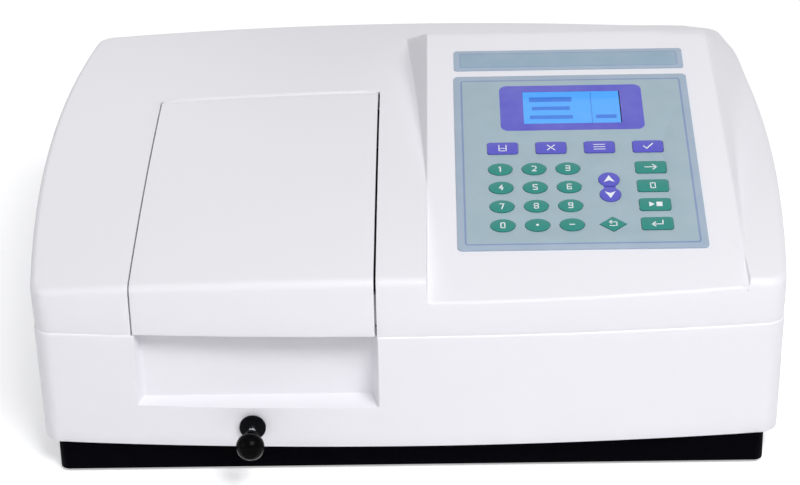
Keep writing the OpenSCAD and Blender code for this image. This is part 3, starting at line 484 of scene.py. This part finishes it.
def pit():
    """Walls of the lid's pit, its flanges and the bulkhead behind the finger recess.

    The back wall stands SWING behind the opening's edge, so that the lid's back corner swings clear of it.
    """
    verts, faces = [], []
    back = OPENING_Y + SWING
    ys = steps(RECESS_Y, back, 24)
    for x0, x1 in ((LID_LEFT - WALL, LID_LEFT), (LID_RIGHT, LID_RIGHT + WALL)):
        for y0, y1 in zip(ys, ys[1:]):
            z = min(top_z(x, y) for x in (x0, x1) for y in (y0, y1)) - 1.2
            box_faces(x0, x1, y0, y1, SEAM_Z, z, verts, faces)
        front = steps(face_y(x0) + 0.9, RECESS_Y, 14)
        for y0, y1 in zip(front, front[1:]):
            z = top_z(x0, y0) - quarter(y0 - face_y(x0), CREASE_R) - 0.8
            box_faces(x0, x1, y0, y1, SEAM_Z, z, verts, faces)
    xs = steps(LID_LEFT - WALL, LID_RIGHT + WALL, 12)
    for x0, x1 in zip(xs, xs[1:]):
        z = min(top_z(x0, back), top_z(x1, back)) - 1.2
        box_faces(x0, x1, back, back + WALL, SEAM_Z, z, verts, faces)
    box_faces(LID_LEFT, LID_RIGHT, RECESS_Y, RECESS_Y + WALL, SEAM_Z, FLANGE_Z, verts, faces)
    for x0, x1 in ((LID_LEFT, LID_LEFT + FLANGE_W), (LID_RIGHT - FLANGE_W, LID_RIGHT)):
        box_faces(x0, x1, RECESS_Y + WALL, back, SEAM_Z, FLANGE_Z, verts, faces)
    box_faces(LID_LEFT, LID_RIGHT, OPENING_Y - FLANGE_W, back, SEAM_Z, FLANGE_Z, verts, faces)
    return verts, faces


verts, faces = cover()
piece("top_cover_moulding", verts, faces, white_abs, "chassis", ["top_cover"], thick=WALL,
      edge=0.5)
verts, faces = pit()
piece("top_cover_pit_walls", verts, faces, white_abs, "chassis", ["top_cover"], sharp=30.0)

# Sample lid. The real piece is a white ABS moulding with the cover's curve on top and a flap down the front
# wall. Its back edge is rolled round a steel hinge pin, and a black frame with a foam seal is screwed under
# it against stray light.

GAP_L, GAP_R, FLAP_GAP, LID_BACK, LID_EDGE_R = 1.0, 1.4, 0.4, 8.3, 1.0


def arc(centre, radius, start, end, n):
    """Places on a circle in the y-z plane, its angles in degrees."""
    return [(centre[0] + radius * math.cos(math.radians(a)), centre[1] + radius * math.sin(math.radians(a)))
            for a in steps(start, end, n)]


def dress(node, material, edge=0.25, sharp=35.0, segments=2):
    """A CAD node shown as it is, with its sharp edges broken and its round faces shaded smooth."""
    obj = NODES[node]
    obj.data.materials.clear()
    obj.data.materials.append(material)
    obj.data.polygons.foreach_set("use_smooth", [True] * len(obj.data.polygons))
    mod = obj.modifiers.new("join", "WELD")
    mod.merge_threshold = 0.000005
    break_edges(obj, edge, segments, 40, sharp)


def lid():
    """The lid's skin, profile after profile from left to right: flap, crease, crown, back edge and roll."""
    verts, faces = [], []
    xs = steps(LID_LEFT + GAP_L, LID_RIGHT - GAP_R, 30)
    for x in xs:
        y0 = face_y(x)
        back = HINGE_Y + LID_BACK - LID_EDGE_R
        path = [(y0 + lean(z), z) for z in steps(SEAM_Z + FLAP_GAP, top_z(x, y0) - CREASE_R, 8)]
        crease = [CREASE_R * (1 - math.cos(math.radians(a))) for a in steps(0, 90, 12)[1:]]
        path += [(y0 + d, top_z(x, y0 + d) - quarter(d, CREASE_R)) for d in crease]
        path += [(y, top_z(x, y)) for y in steps(y0 + CREASE_R, back, 40)[1:]]
        path += arc((back, top_z(x, back) - LID_EDGE_R), LID_EDGE_R, 90, 0, 4)[1:]
        path += arc((HINGE_Y, HINGE_Z), ROLL_R, 20, -38, 14)
        n = len(path)
        verts += [(x, y, z) for y, z in path]
    for i in range(len(xs) - 1):
        for j in range(n - 1):
            faces.append([i * n + j, (i + 1) * n + j, (i + 1) * n + j + 1, i * n + j + 1])
    return verts, faces


verts, faces = lid()
piece("sample_lid_moulding", verts, faces, white_abs, "lid", ["sample_lid"], thick=WALL,
      edge=0.7)

black_abs = finish_material("black ABS, fine satin moulding", "#050609", 0.5, 0.5, 0.01, shade=0.8,
                            specular=0.06)
foam = finish_material("black foam strip, cut", "#1B1B1D", 0.9, 0.9, 0.25, shade=0.7, specular=0.2)
zinc = finish_material("zinc plated steel, rolled sheet", "#BFC2C7", 0.34, 0.25, 0.004, shade=0.85,
                       metallic=1.0)
steel = finish_material("polished stainless steel rod", "#D2D5DA", 0.16, 0.4, 0.002, shade=0.92,
                        metallic=1.0)
dress("lid_liner", black_abs)
dress("lid_light_seal", foam, edge=0.6)
dress("lid_hinge_pin", steel)

# Keypad overlay. The real piece is a polyester film, printed from behind in grey-blue with a darker border
# and a purple surround for the display, its keys embossed, glued on the flat console face.

CONSOLE_AT = Vector((0.0, FRONT_Y / 1000, CONSOLE_Z0 / 1000))
OVERLAY_X, OVERLAY_T, OVERLAY_W, OVERLAY_H = 104.7, 124.6, 149.4, 163.0
DISPLAY_X, DISPLAY_T = OVERLAY_X - 0.1, OVERLAY_T + 49.3
ARROW_X = OVERLAY_X + 18.9
GREY, BORDER, LINE, STRIP = "#9DB3BE", "#9EB0C3", "#7C90B6", "#8FA9BC"
PURPLE, GREEN, WHITE = "#5856C4", "#1E867C", "#EEF2F6"


def face_point(x, t, n):
    """Point of the part's frame at x, t up the console's slope and n above its face, in millimetres."""
    return (x, FRONT_Y + t * math.cos(SLOPE) - n * math.sin(SLOPE),
            CONSOLE_Z0 + t * math.sin(SLOPE) + n * math.cos(SLOPE))


def face_coords(tree):
    """Object coordinates turned into millimetres across the console face and up its slope."""
    shifted = add(tree, "VectorMath", {0: place(tree), 1: tuple(CONSOLE_AT)}, operation="SUBTRACT").outputs[0]
    turned = add(tree, "VectorRotate", {"Vector": shifted, "Axis": (1.0, 0.0, 0.0), "Angle": -SLOPE},
                 rotation_type="AXIS_ANGLE").outputs[0]
    return add(tree, "VectorMath", {0: turned, "Scale": 1000.0}, operation="SCALE").outputs[0]


def face_noise(tree, mm, period_mm, detail):
    """Noise of a real size, for coordinates in millimetres."""
    return noise(tree, mm, period_mm * 1000.0, detail).outputs["Fac"]


def maths(tree, operation, a, b=0.0):
    return add(tree, "Math", {0: a, 1: b}, operation=operation).outputs[0]


def rounded_mask(tree, coords, cx, cy, w, h, r, soft=0.12):
    """1 inside a rounded rectangle on the console face, 0 outside it."""
    parts = add(tree, "SeparateXYZ", {0: coords})
    beyond, squares = [], []
    for axis, centre, half in ((0, cx, w / 2), (1, cy, h / 2)):
        away = maths(tree, "ABSOLUTE", maths(tree, "SUBTRACT", parts.outputs[axis], centre))
        beyond.append(maths(tree, "SUBTRACT", away, half - r))
        outside = maths(tree, "MAXIMUM", beyond[-1], 0.0)
        squares.append(maths(tree, "MULTIPLY", outside, outside))
    length = maths(tree, "SQRT", maths(tree, "ADD", *squares))
    d = maths(tree, "ADD", length, maths(tree, "MINIMUM", maths(tree, "MAXIMUM", *beyond), 0.0))
    return add(tree, "MapRange", {"Value": d, "From Min": r - soft, "From Max": r + soft, "To Min": 1.0,
                                  "To Max": 0.0}).outputs["Result"]


def film_grain(tree, shader, mm, dull):
    """The matt grain of the film, 0.45 mm across and 6 micrometres deep, in gloss and height."""
    grain = face_noise(tree, mm, 0.45, 3.0)
    tree.links.new(spread(tree, grain, 0.3, dull), shader.inputs["Roughness"])
    bump = add(tree, "Bump", {"Height": grain, "Distance": 0.000006, "Strength": 1.0})
    tree.links.new(bump.outputs["Normal"], shader.inputs["Normal"])


def film(name, border, areas, outlines):
    """Printed polyester film: a border ink, filled areas over it and thin outlines."""
    m, tree, shader = new_material(name)
    mm = face_coords(tree)
    colour = linear(border)
    for cx, cy, w, h, r, ink in areas:
        colour = blend_colour(tree, rounded_mask(tree, mm, cx, cy, w, h, r), colour, linear(ink))
    for cx, cy, w, h, r, line, ink in outlines:
        ring = maths(tree, "SUBTRACT", rounded_mask(tree, mm, cx, cy, w, h, r),
                     rounded_mask(tree, mm, cx, cy, w - 2 * line, h - 2 * line, max(0.1, r - line)))
        colour = blend_colour(tree, ring, colour, linear(ink))
    haze = spread(tree, face_noise(tree, mm, 18.0, 2.0), 0.0, 0.05)
    tree.links.new(blend_colour(tree, haze, colour, linear("#FFFFFF")), shader.inputs["Base Color"])
    film_grain(tree, shader, mm, 0.4)
    return m


ground = (OVERLAY_X, OVERLAY_T, OVERLAY_W - 9.0, OVERLAY_H - 9.0, 2.0, GREY)
round_display = (OVERLAY_X - 0.5, OVERLAY_T + 49.2, 90.6, 44.2, 5.0, PURPLE)
between_arrows = (ARROW_X, OVERLAY_T - 27.1, 7.4, 9.0, 1.0, PURPLE)
frame_line = (OVERLAY_X, OVERLAY_T, OVERLAY_W - 8.4, OVERLAY_H - 8.4, 2.2, 1.2, LINE)
strip = (OVERLAY_X, OVERLAY_T + 98.1, 141.0, 14.4, 1.2)
overlay_film = film("polyester film, reverse printed keypad", BORDER, [ground, round_display, between_arrows],
                    [frame_line])
dress("keypad_overlay", overlay_film, edge=0.15)
strip_film = film("polyester film, reverse printed strip", BORDER, [strip + (STRIP,)], [strip + (0.55, LINE)])
dress("title_strip", strip_film, edge=0.15)

# Keys. Each real key is an embossed dome in the same film over a snap dome, printed purple or green with a
# white legend. The words of the legends aren't copied: plain numbers and simple marks take their place.

ROW_T, KEY_PITCH, KEY_TOP, KEY_EDGE = OVERLAY_T - 9.4, 17.0, 1.4, 0.3
NUMBER_X, NUMBER_PITCH = OVERLAY_X - 47.3, 20.8
FUNCTION_X, FUNCTION_T, FUNCTION_PITCH = OVERLAY_X - 45.3, OVERLAY_T + 10.2, 30.1
SIDE_X = OVERLAY_X + 45.3
INK_UP, INK_THICK = 0.02, 0.03
SEGMENTS = {"0": "abcdef", "3": "abgcd", "5": "afgcd", "6": "afgedc", "8": "abcdefg", "9": "abcdfg"}


def ink_film(name, colour):
    """The same film printed in one colour."""
    m, tree, shader = new_material(name)
    mm = face_coords(tree)
    base = linear(colour)
    dark = tuple([c * 0.95 for c in base[:3]] + [1.0])
    slow = face_noise(tree, mm, 9.0, 2.0)
    tree.links.new(blend_colour(tree, slow, dark, base), shader.inputs["Base Color"])
    film_grain(tree, shader, mm, 0.42)
    return m


def print_mark(node, outlines):
    """White print on a key's top: outlines are lists of (x, t) corners in millimetres."""
    verts, faces = [], []
    for outline in outlines:
        k, m = len(verts), len(outline)
        verts += [face_point(x, t, KEY_TOP + INK_UP) for x, t in outline]
        verts += [face_point(x, t, KEY_TOP + INK_UP + INK_THICK) for x, t in outline]
        faces.append([k + m + i for i in range(m)])
        faces += [[k + i, k + (i + 1) % m, k + m + (i + 1) % m, k + m + i] for i in range(m)]
    piece("mark_" + node, verts, faces, white_ink, node, sharp=20.0)


def stroke(x0, y0, x1, y1, w):
    """Corners of a straight stroke of width w with square ends."""
    d = Vector((x1 - x0, y1 - y0)).normalized() * (w / 2)
    return [(x0 - d.x + d.y, y0 - d.y - d.x), (x1 + d.x + d.y, y1 + d.y - d.x),
            (x1 + d.x - d.y, y1 + d.y + d.x), (x0 - d.x - d.y, y0 - d.y + d.x)]


def strokes(cx, cy, *lines):
    """Strokes whose two ends are counted from a key's middle, each with its width."""
    return [stroke(cx + x0, cy + y0, cx + x1, cy + y1, w) for x0, y0, x1, y1, w in lines]


def outlines_at(cx, cy, *outlines):
    """Outlines whose corners are counted from a key's middle."""
    return [[(cx + x, cy + y) for x, y in outline] for outline in outlines]


def disc(x, y, r, n=20):
    return [(x + r * math.cos(2 * math.pi * i / n), y + r * math.sin(2 * math.pi * i / n)) for i in range(n)]


def digit(text, cx, cy, w, h, line):
    """A plain number drawn as straight strokes, in a box of w by h round its middle."""
    x0, x1, y0, y1 = cx - w / 2, cx + w / 2, cy - h / 2, cy + h / 2
    if text == "1":
        return [stroke(cx, y0, cx, y1, line), stroke(cx - w * 0.3, y1 - h * 0.2, cx, y1, line)]
    if text == "2":
        bend = cy + h * 0.05
        return [stroke(x0, y1, x1, y1, line), stroke(x1, y1, x1, bend, line), stroke(x1, bend, x0, y0, line),
                stroke(x0, y0, x1, y0, line)]
    if text == "4":
        stem, bar = cx + w * 0.2, cy - h * 0.12
        return [stroke(stem, y0, stem, y1, line), stroke(stem, y1, x0, bar, line),
                stroke(x0, bar, x1, bar, line)]
    if text == "7":
        return [stroke(x0, y1, x1, y1, line), stroke(x1, y1, cx - w * 0.1, y0, line)]
    ends = {"a": (x0, y1, x1, y1), "b": (x1, y1, x1, cy), "c": (x1, cy, x1, y0), "d": (x0, y0, x1, y0),
            "e": (x0, cy, x0, y0), "f": (x0, y1, x0, cy), "g": (x0, cy, x1, cy)}
    return [stroke(*ends[s], line) for s in SEGMENTS[text]]


def function_mark(i, cx, cy):
    if i == 0:
        return strokes(cx, cy, (-2.2, 2.6, -2.2, -2.6, 0.6), (-2.2, -2.6, 2.2, -2.6, 0.6),
                       (2.2, -2.6, 2.2, 2.6, 0.6), (-1.6, -0.2, 1.6, -0.2, 0.5))
    if i == 1:
        return strokes(cx, cy, (-2.2, -2.2, 2.2, 2.2, 0.7), (-2.2, 2.2, 2.2, -2.2, 0.7))
    if i == 2:
        return strokes(cx, cy, *[(-3.4, t, 3.4, t, 0.6) for t in (-2.2, 0.0, 2.2)])
    return strokes(cx, cy, (-2.6, 0.0, -0.8, -2.2, 0.8), (-0.8, -2.2, 3.0, 2.4, 0.8))


def side_mark(i, cx, cy):
    if i == 0:
        return strokes(cx, cy, (-3.6, 0.0, 3.4, 0.0, 0.7), (1.2, 2.2, 3.6, 0.0, 0.7),
                       (1.2, -2.2, 3.6, 0.0, 0.7))
    if i == 1:
        return digit("0", cx, cy, 2.8, 4.6, 0.7)
    if i == 2:
        return outlines_at(cx, cy, [(-3.6, -2.2), (-0.2, 0.0), (-3.6, 2.2)],
                       [(0.8, -1.9), (4.4, -1.9), (4.4, 1.9), (0.8, 1.9)])
    return strokes(cx, cy, (3.4, 2.4, 3.4, -0.8, 0.7), (3.4, -0.8, -3.0, -0.8, 0.7),
                   (-3.2, -0.8, -1.2, 1.0, 0.7), (-3.2, -0.8, -1.2, -2.6, 0.7))


purple_film = ink_film("polyester film, embossed key printed purple", PURPLE)
green_film = ink_film("polyester film, embossed key printed green", GREEN)
white_ink = ink_film("white screen ink on polyester film", WHITE)

for i, text in enumerate("1234567890.-"):
    node = "number_key_%d" % (i + 1)
    cx, cy = NUMBER_X + NUMBER_PITCH * (i % 3), ROW_T - KEY_PITCH * (i // 3)
    dress(node, green_film, edge=KEY_EDGE)
    if text == ".":
        marks = [disc(cx, cy, 0.9)]
    elif text == "-":
        marks = strokes(cx, cy, (-1.3, 0.0, 1.3, 0.0, 0.7))
    else:
        marks = digit(text, cx, cy, 2.3, 4.4, 0.75)
    print_mark(node, marks)

for i in range(4):
    node = "function_key_%d" % (i + 1)
    dress(node, purple_film, edge=KEY_EDGE)
    print_mark(node, function_mark(i, FUNCTION_X + FUNCTION_PITCH * i, FUNCTION_T))

for i in range(4):
    node = "side_key_%d" % (i + 1)
    dress(node, green_film, edge=KEY_EDGE)
    print_mark(node, side_mark(i, SIDE_X, ROW_T - KEY_PITCH * i))

for node, drop, s in (("arrow_up_key", 10.9, 1), ("arrow_down_key", 24.5, -1)):
    dress(node, purple_film, edge=KEY_EDGE)
    left = [(-3.4, -2.6 * s), (0.0, -1.0 * s), (0.0, 3.6 * s)]
    right = [(3.4, -2.6 * s), (0.0, 3.6 * s), (0.0, -1.0 * s)]
    print_mark(node, outlines_at(ARROW_X, ROW_T - drop, left, right))

dress("diamond_key", green_film, edge=KEY_EDGE)
print_mark("diamond_key", strokes(ARROW_X, ROW_T - 3 * KEY_PITCH, (2.2, 1.6, -2.2, 1.6, 0.6),
                                  (-2.4, 1.6, -1.0, 2.8, 0.6), (-2.4, 1.6, -1.0, 0.4, 0.6),
                                  (2.2, 1.6, 2.2, -1.6, 0.6), (2.2, -1.6, -2.0, -1.6, 0.6)))

# Display. The real piece is a backlit blue liquid crystal module behind a clear acrylic window, held on
# stand-offs under the console face. The window's purple surround is printed on the film.

LIT_W, LIT_H, LIT_UP = 61.0, 30.4, 3.9
SURROUND_OUTER, SURROUND_INNER, SURROUND_UNDER, SURROUND_TOP = (44.5, 21.5), (30.9, 15.6), 1.02, 1.05


def display_glass():
    """A lit blue field in a dark frame, with plain bars in place of the menu's words."""
    m, tree, shader = new_material("liquid crystal display, blue backlight")
    mm = face_coords(tree)
    middle = DISPLAY_T + LIT_UP
    lit = rounded_mask(tree, mm, DISPLAY_X, middle, LIT_W, LIT_H, 0.4)
    uneven = spread(tree, face_noise(tree, mm, 30.0, 1.0), 0.0, 0.25)
    shine = blend_colour(tree, uneven, linear("#58B8FF"), linear("#6FB2FF"))
    marks = None
    for dx, dy, w, h in ((-13.0, 7.8, 27.0, 4.6), (-13.0, -0.6, 24.0, 3.4), (-13.0, -8.8, 27.0, 3.4),
                         (12.6, 0.0, 0.5, 29.0), (21.5, -8.8, 13.0, 3.4)):
        area = rounded_mask(tree, mm, DISPLAY_X + dx, middle + dy, w, h, 0.2)
        marks = area if marks is None else maths(tree, "MAXIMUM", marks, area)
    cells = add(tree, "TexChecker", {"Vector": mm, "Scale": 0.9})
    shown = maths(tree, "MULTIPLY", marks, spread(tree, cells.outputs["Fac"], 0.45, 0.9, 0.0, 1.0))
    face = blend_colour(tree, shown, shine, linear("#2C5CC4"))
    tree.links.new(blend_colour(tree, lit, linear("#26307A"), face), shader.inputs["Emission Color"])
    tree.links.new(maths(tree, "MULTIPLY", lit, 0.98), shader.inputs["Emission Strength"])
    shader.inputs["Base Color"].default_value = linear("#16181F")
    shader.inputs["Roughness"].default_value = 0.2
    return m


def window_material():
    m, tree, shader = new_material("clear acrylic window, hard coated")
    scratches = noise(tree, place(tree), 6.0, 3.0)
    tree.links.new(spread(tree, scratches.outputs["Fac"], 0.02, 0.08), shader.inputs["Roughness"])
    shader.inputs["Base Color"].default_value = linear("#E8ECFF")
    shader.inputs["Transmission Weight"].default_value = 1.0
    shader.inputs["IOR"].default_value = 1.1
    shader.inputs["Specular IOR Level"].default_value = 0.4
    return m


def surround():
    """A thin flat ring of film round the window."""
    ring = [(DISPLAY_X + u * w, DISPLAY_T + v * h) for w, h in (SURROUND_OUTER, SURROUND_INNER)
            for u, v in ((-1, -1), (1, -1), (1, 1), (-1, 1))]
    verts = [face_point(x, t, n) for n in (SURROUND_UNDER, SURROUND_TOP) for x, t in ring]
    faces = []
    for i in range(4):
        j = (i + 1) % 4
        faces += [[8 + i, 8 + j, 12 + j, 12 + i], [i, j, 8 + j, 8 + i], [4 + j, 4 + i, 12 + i, 12 + j]]
    return verts, faces


dress("lcd_module", display_glass(), edge=0.0)
dress("display_window", window_material(), edge=0.1)
verts, faces = surround()
piece("display_window_surround", verts, faces, overlay_film, "chassis", sharp=20.0)

# Pull rod. The real rod is polished stainless steel in a black moulded collar, with a turned black phenolic
# knob pressed on its end. It pushes and pulls the cell carriage.

phenolic = finish_material("black phenolic, turned and polished", "#010102", 0.22, 2.0, 0.004, shade=0.8,
                           specular=0.04)
dress("rod_bushing", black_abs, edge=0.4)
dress("pull_rod", steel, edge=0.3)
dress("rod_knob", phenolic, edge=0.3, segments=3, sharp=50.0)

# Sample compartment. The real tub and carriage are black anodised aluminium, dull against stray light. Four
# glass cells stand in the carriage, which runs on two floor ribs, and the beam passes two quartz windows.

anodised = finish_material("aluminium, black anodised after bead blasting", "#232428", 0.55, 0.3, 0.01,
                           shade=0.8, metallic=0.3)


def clear_glass(name, tint):
    m, tree, shader = new_material(name)
    wave = noise(tree, place(tree), 9.0, 2.0)
    tree.links.new(spread(tree, wave.outputs["Fac"], 0.01, 0.05), shader.inputs["Roughness"])
    shader.inputs["Base Color"].default_value = linear(tint)
    shader.inputs["Transmission Weight"].default_value = 1.0
    shader.inputs["IOR"].default_value = 1.46
    return m


cell_glass = clear_glass("optical glass, polished cells", "#EEF6F8")
quartz = clear_glass("fused quartz, polished windows", "#F2F8FA")
dress("cell_carriage", anodised, edge=0.4)
dress("cuvettes", cell_glass, edge=0.15)
dress("sample_chamber", anodised, edge=0.5)
dress("chamber_windows", quartz, edge=0.1)

# Inside of the case. The real optics stand on a cast aluminium bench: a closed monochromator, a lamp house
# and a detector, with the boards in front. None of it is seen with the lid shut.

cast_aluminium = finish_material("cast aluminium, sand cast and milled", "#A6A9AD", 0.5, 1.2, 0.05,
                                 shade=0.85, metallic=0.9)
lamp_quartz = clear_glass("quartz lamp envelope", "#F4F6F6")
green_board = finish_material("glass epoxy board, green solder mask", "#23663E", 0.35, 1.5, 0.02, shade=0.7)
varnished = finish_material("phenolic paper board and varnished windings", "#8A7747", 0.5, 1.5, 0.03,
                            shade=0.7)
dress("optical_bench", cast_aluminium, edge=0.5)
dress("monochromator_box", anodised, edge=0.6)
dress("lamp_house", zinc, edge=0.4)
dress("source_lamp", lamp_quartz, edge=0.3)
dress("detector_module", anodised, edge=0.5)
dress("main_board", green_board, edge=0.15)
dress("power_supply", varnished, edge=0.2)

# Base tray and feet. The real base is folded sheet steel, powder coated black, on four moulded rubber feet
# with the long case screws in them.

powder = finish_material("black powder coat on folded sheet steel", "#020206", 0.55, 0.8, 0.02, shade=0.8,
                         specular=0.02)
rubber = finish_material("black rubber, moulded", "#1E1E1F", 0.8, 0.7, 0.04, shade=0.8, specular=0.3)
dress("base_tray", powder, edge=0.6, sharp=30.0)
dress("rubber_feet", rubber, edge=0.5)
dress("case_screws", zinc, edge=0.2)

# Rear panel. The real panel is zinc plated sheet steel, punched for a moulded mains inlet, a rocker switch, a
# data port and a small fan behind a chromed wire guard.

red_rocker = finish_material("red polycarbonate rocker, polished", "#A01818", 0.25, 2.0, 0.004, shade=0.9)
dress("rear_panel", zinc, edge=0.15)
dress("panel_screws", zinc, edge=0.15)
dress("mains_inlet", black_abs, edge=0.4)
dress("inlet_pins", steel, edge=0.2)
dress("switch_frame", black_abs, edge=0.3)
dress("power_rocker", red_rocker, edge=0.4)
dress("data_port", zinc, edge=0.2)
dress("fan_frame", black_abs, edge=0.4)
dress("fan_rotor", black_abs, edge=0.2)
dress("fan_guard", steel, edge=0.3)

# Studio. A pale floor that turns into the white background some way from the case, a large soft key lamp
# above and in front, a little to the right, a weak fill from the left and one from behind. The camera stands
# where the photograph's stood.

FLOOR_HALF, NEAR_WHITE, FAR_WHITE, NEAR_GLOW, FAR_GLOW = 9, 0.42, 0.78, 0.5, 2.5
PHOTO_WIDTH, FOCAL_LENGTH, SENSOR = 800, 2301.77, 36.0
AZIMUTH, ELEVATION, ROLL = [math.radians(a) for a in (0.95, 25.99, -1.25)]
AIM, DISTANCE = Vector((-0.0065, 0.0145, 0.07027)), 1.51665


def looked_at(tree):
    """1 for rays from the camera and those reflected or passed on by a surface, 0 for diffuse light."""
    path = add(tree, "LightPath")
    return maths(tree, "MAXIMUM", path.outputs["Is Camera Ray"],
                 maths(tree, "MAXIMUM", path.outputs["Is Glossy Ray"], path.outputs["Is Transmission Ray"]))


def backdrop():
    """A world that looks white and lights softly."""
    world = bpy.data.worlds.new("studio")
    bpy.context.scene.world = world
    world.use_nodes = True
    tree = world.node_tree
    tree.nodes.clear()
    seen = looked_at(tree)
    soft = add(tree, "Background", {"Color": (0.96, 0.97, 1.0, 1.0), "Strength": 0.25})
    white = add(tree, "Background", {"Color": (1.0, 1.0, 1.0, 1.0), "Strength": 1.0})
    mix = add(tree, "MixShader", {0: seen, 1: soft.outputs[0], 2: white.outputs[0]})
    out = tree.nodes.new("ShaderNodeOutputWorld")
    tree.links.new(mix.outputs[0], out.inputs["Surface"])


def paper_floor():
    """White paper with a glow that grows with the distance, made for looked_at rays alone."""
    mesh = bpy.data.meshes.new("floor")
    h = FLOOR_HALF
    mesh.from_pydata([(-h, -h, 0), (h, -h, 0), (h, h, 0), (-h, h, 0)], [], [[0, 1, 2, 3]])
    obj = bpy.data.objects.new("floor", mesh)
    bpy.context.scene.collection.objects.link(obj)
    paper = finish_material("white studio paper", "#FBFBFC", 0.9, 3.0, 0.01, shade=0.995, specular=0.1,
                            swell_mm=900.0)
    tree = paper.node_tree
    shader = tree.nodes["Principled BSDF"]
    shader.inputs["Emission Color"].default_value = linear("#FFFFFF")
    far = add(tree, "VectorMath", {0: place(tree)}, operation="LENGTH").outputs["Value"]
    white_out = spread(tree, far, NEAR_WHITE, FAR_WHITE, NEAR_GLOW, FAR_GLOW)
    tree.links.new(maths(tree, "MULTIPLY", looked_at(tree), white_out), shader.inputs["Emission Strength"])
    mesh.materials.append(paper)
    return obj


def lamp(name, at, target, width, depth, power):
    """A white area lamp turned to a target, all in metres and watts."""
    data = bpy.data.lights.new(name, "AREA")
    data.shape, data.size, data.size_y, data.energy = "RECTANGLE", width, depth, power
    obj = bpy.data.objects.new(name, data)
    obj.location = at
    obj.rotation_mode = "QUATERNION"
    obj.rotation_quaternion = (Vector(target) - Vector(at)).to_track_quat("-Z", "Y")
    bpy.context.scene.collection.objects.link(obj)


backdrop()
floor = paper_floor()
lamp("key_soft", (0.55, -1.22, 1.66), (0, -0.05, 0.08), 0.9, 0.7, 29.5)
lamp("left_fill", (-1.7, -1.1, 0.8), (0, 0, 0.1), 1.0, 0.8, 3.5)
lamp("back_fill", (-0.9, 1.9, 1.1), (0, 0, 0.1), 1.2, 0.8, 6)

lens = bpy.data.cameras.new("camera")
lens.sensor_width, lens.lens = SENSOR, FOCAL_LENGTH / PHOTO_WIDTH * SENSOR
lens.clip_start, lens.clip_end = 0.05, 50
camera = bpy.data.objects.new("camera", lens)
back = Vector((math.sin(AZIMUTH) * math.cos(ELEVATION), -math.cos(AZIMUTH) * math.cos(ELEVATION),
               math.sin(ELEVATION)))
camera.location = AIM + back * DISTANCE
camera.rotation_mode = "QUATERNION"
camera.rotation_quaternion = (-back).to_track_quat("-Z", "Y") @ Quaternion((0, 0, 1), ROLL)
bpy.context.scene.collection.objects.link(camera)
bpy.context.scene.camera = camera
bpy.context.scene.view_settings.view_transform = "Standard"
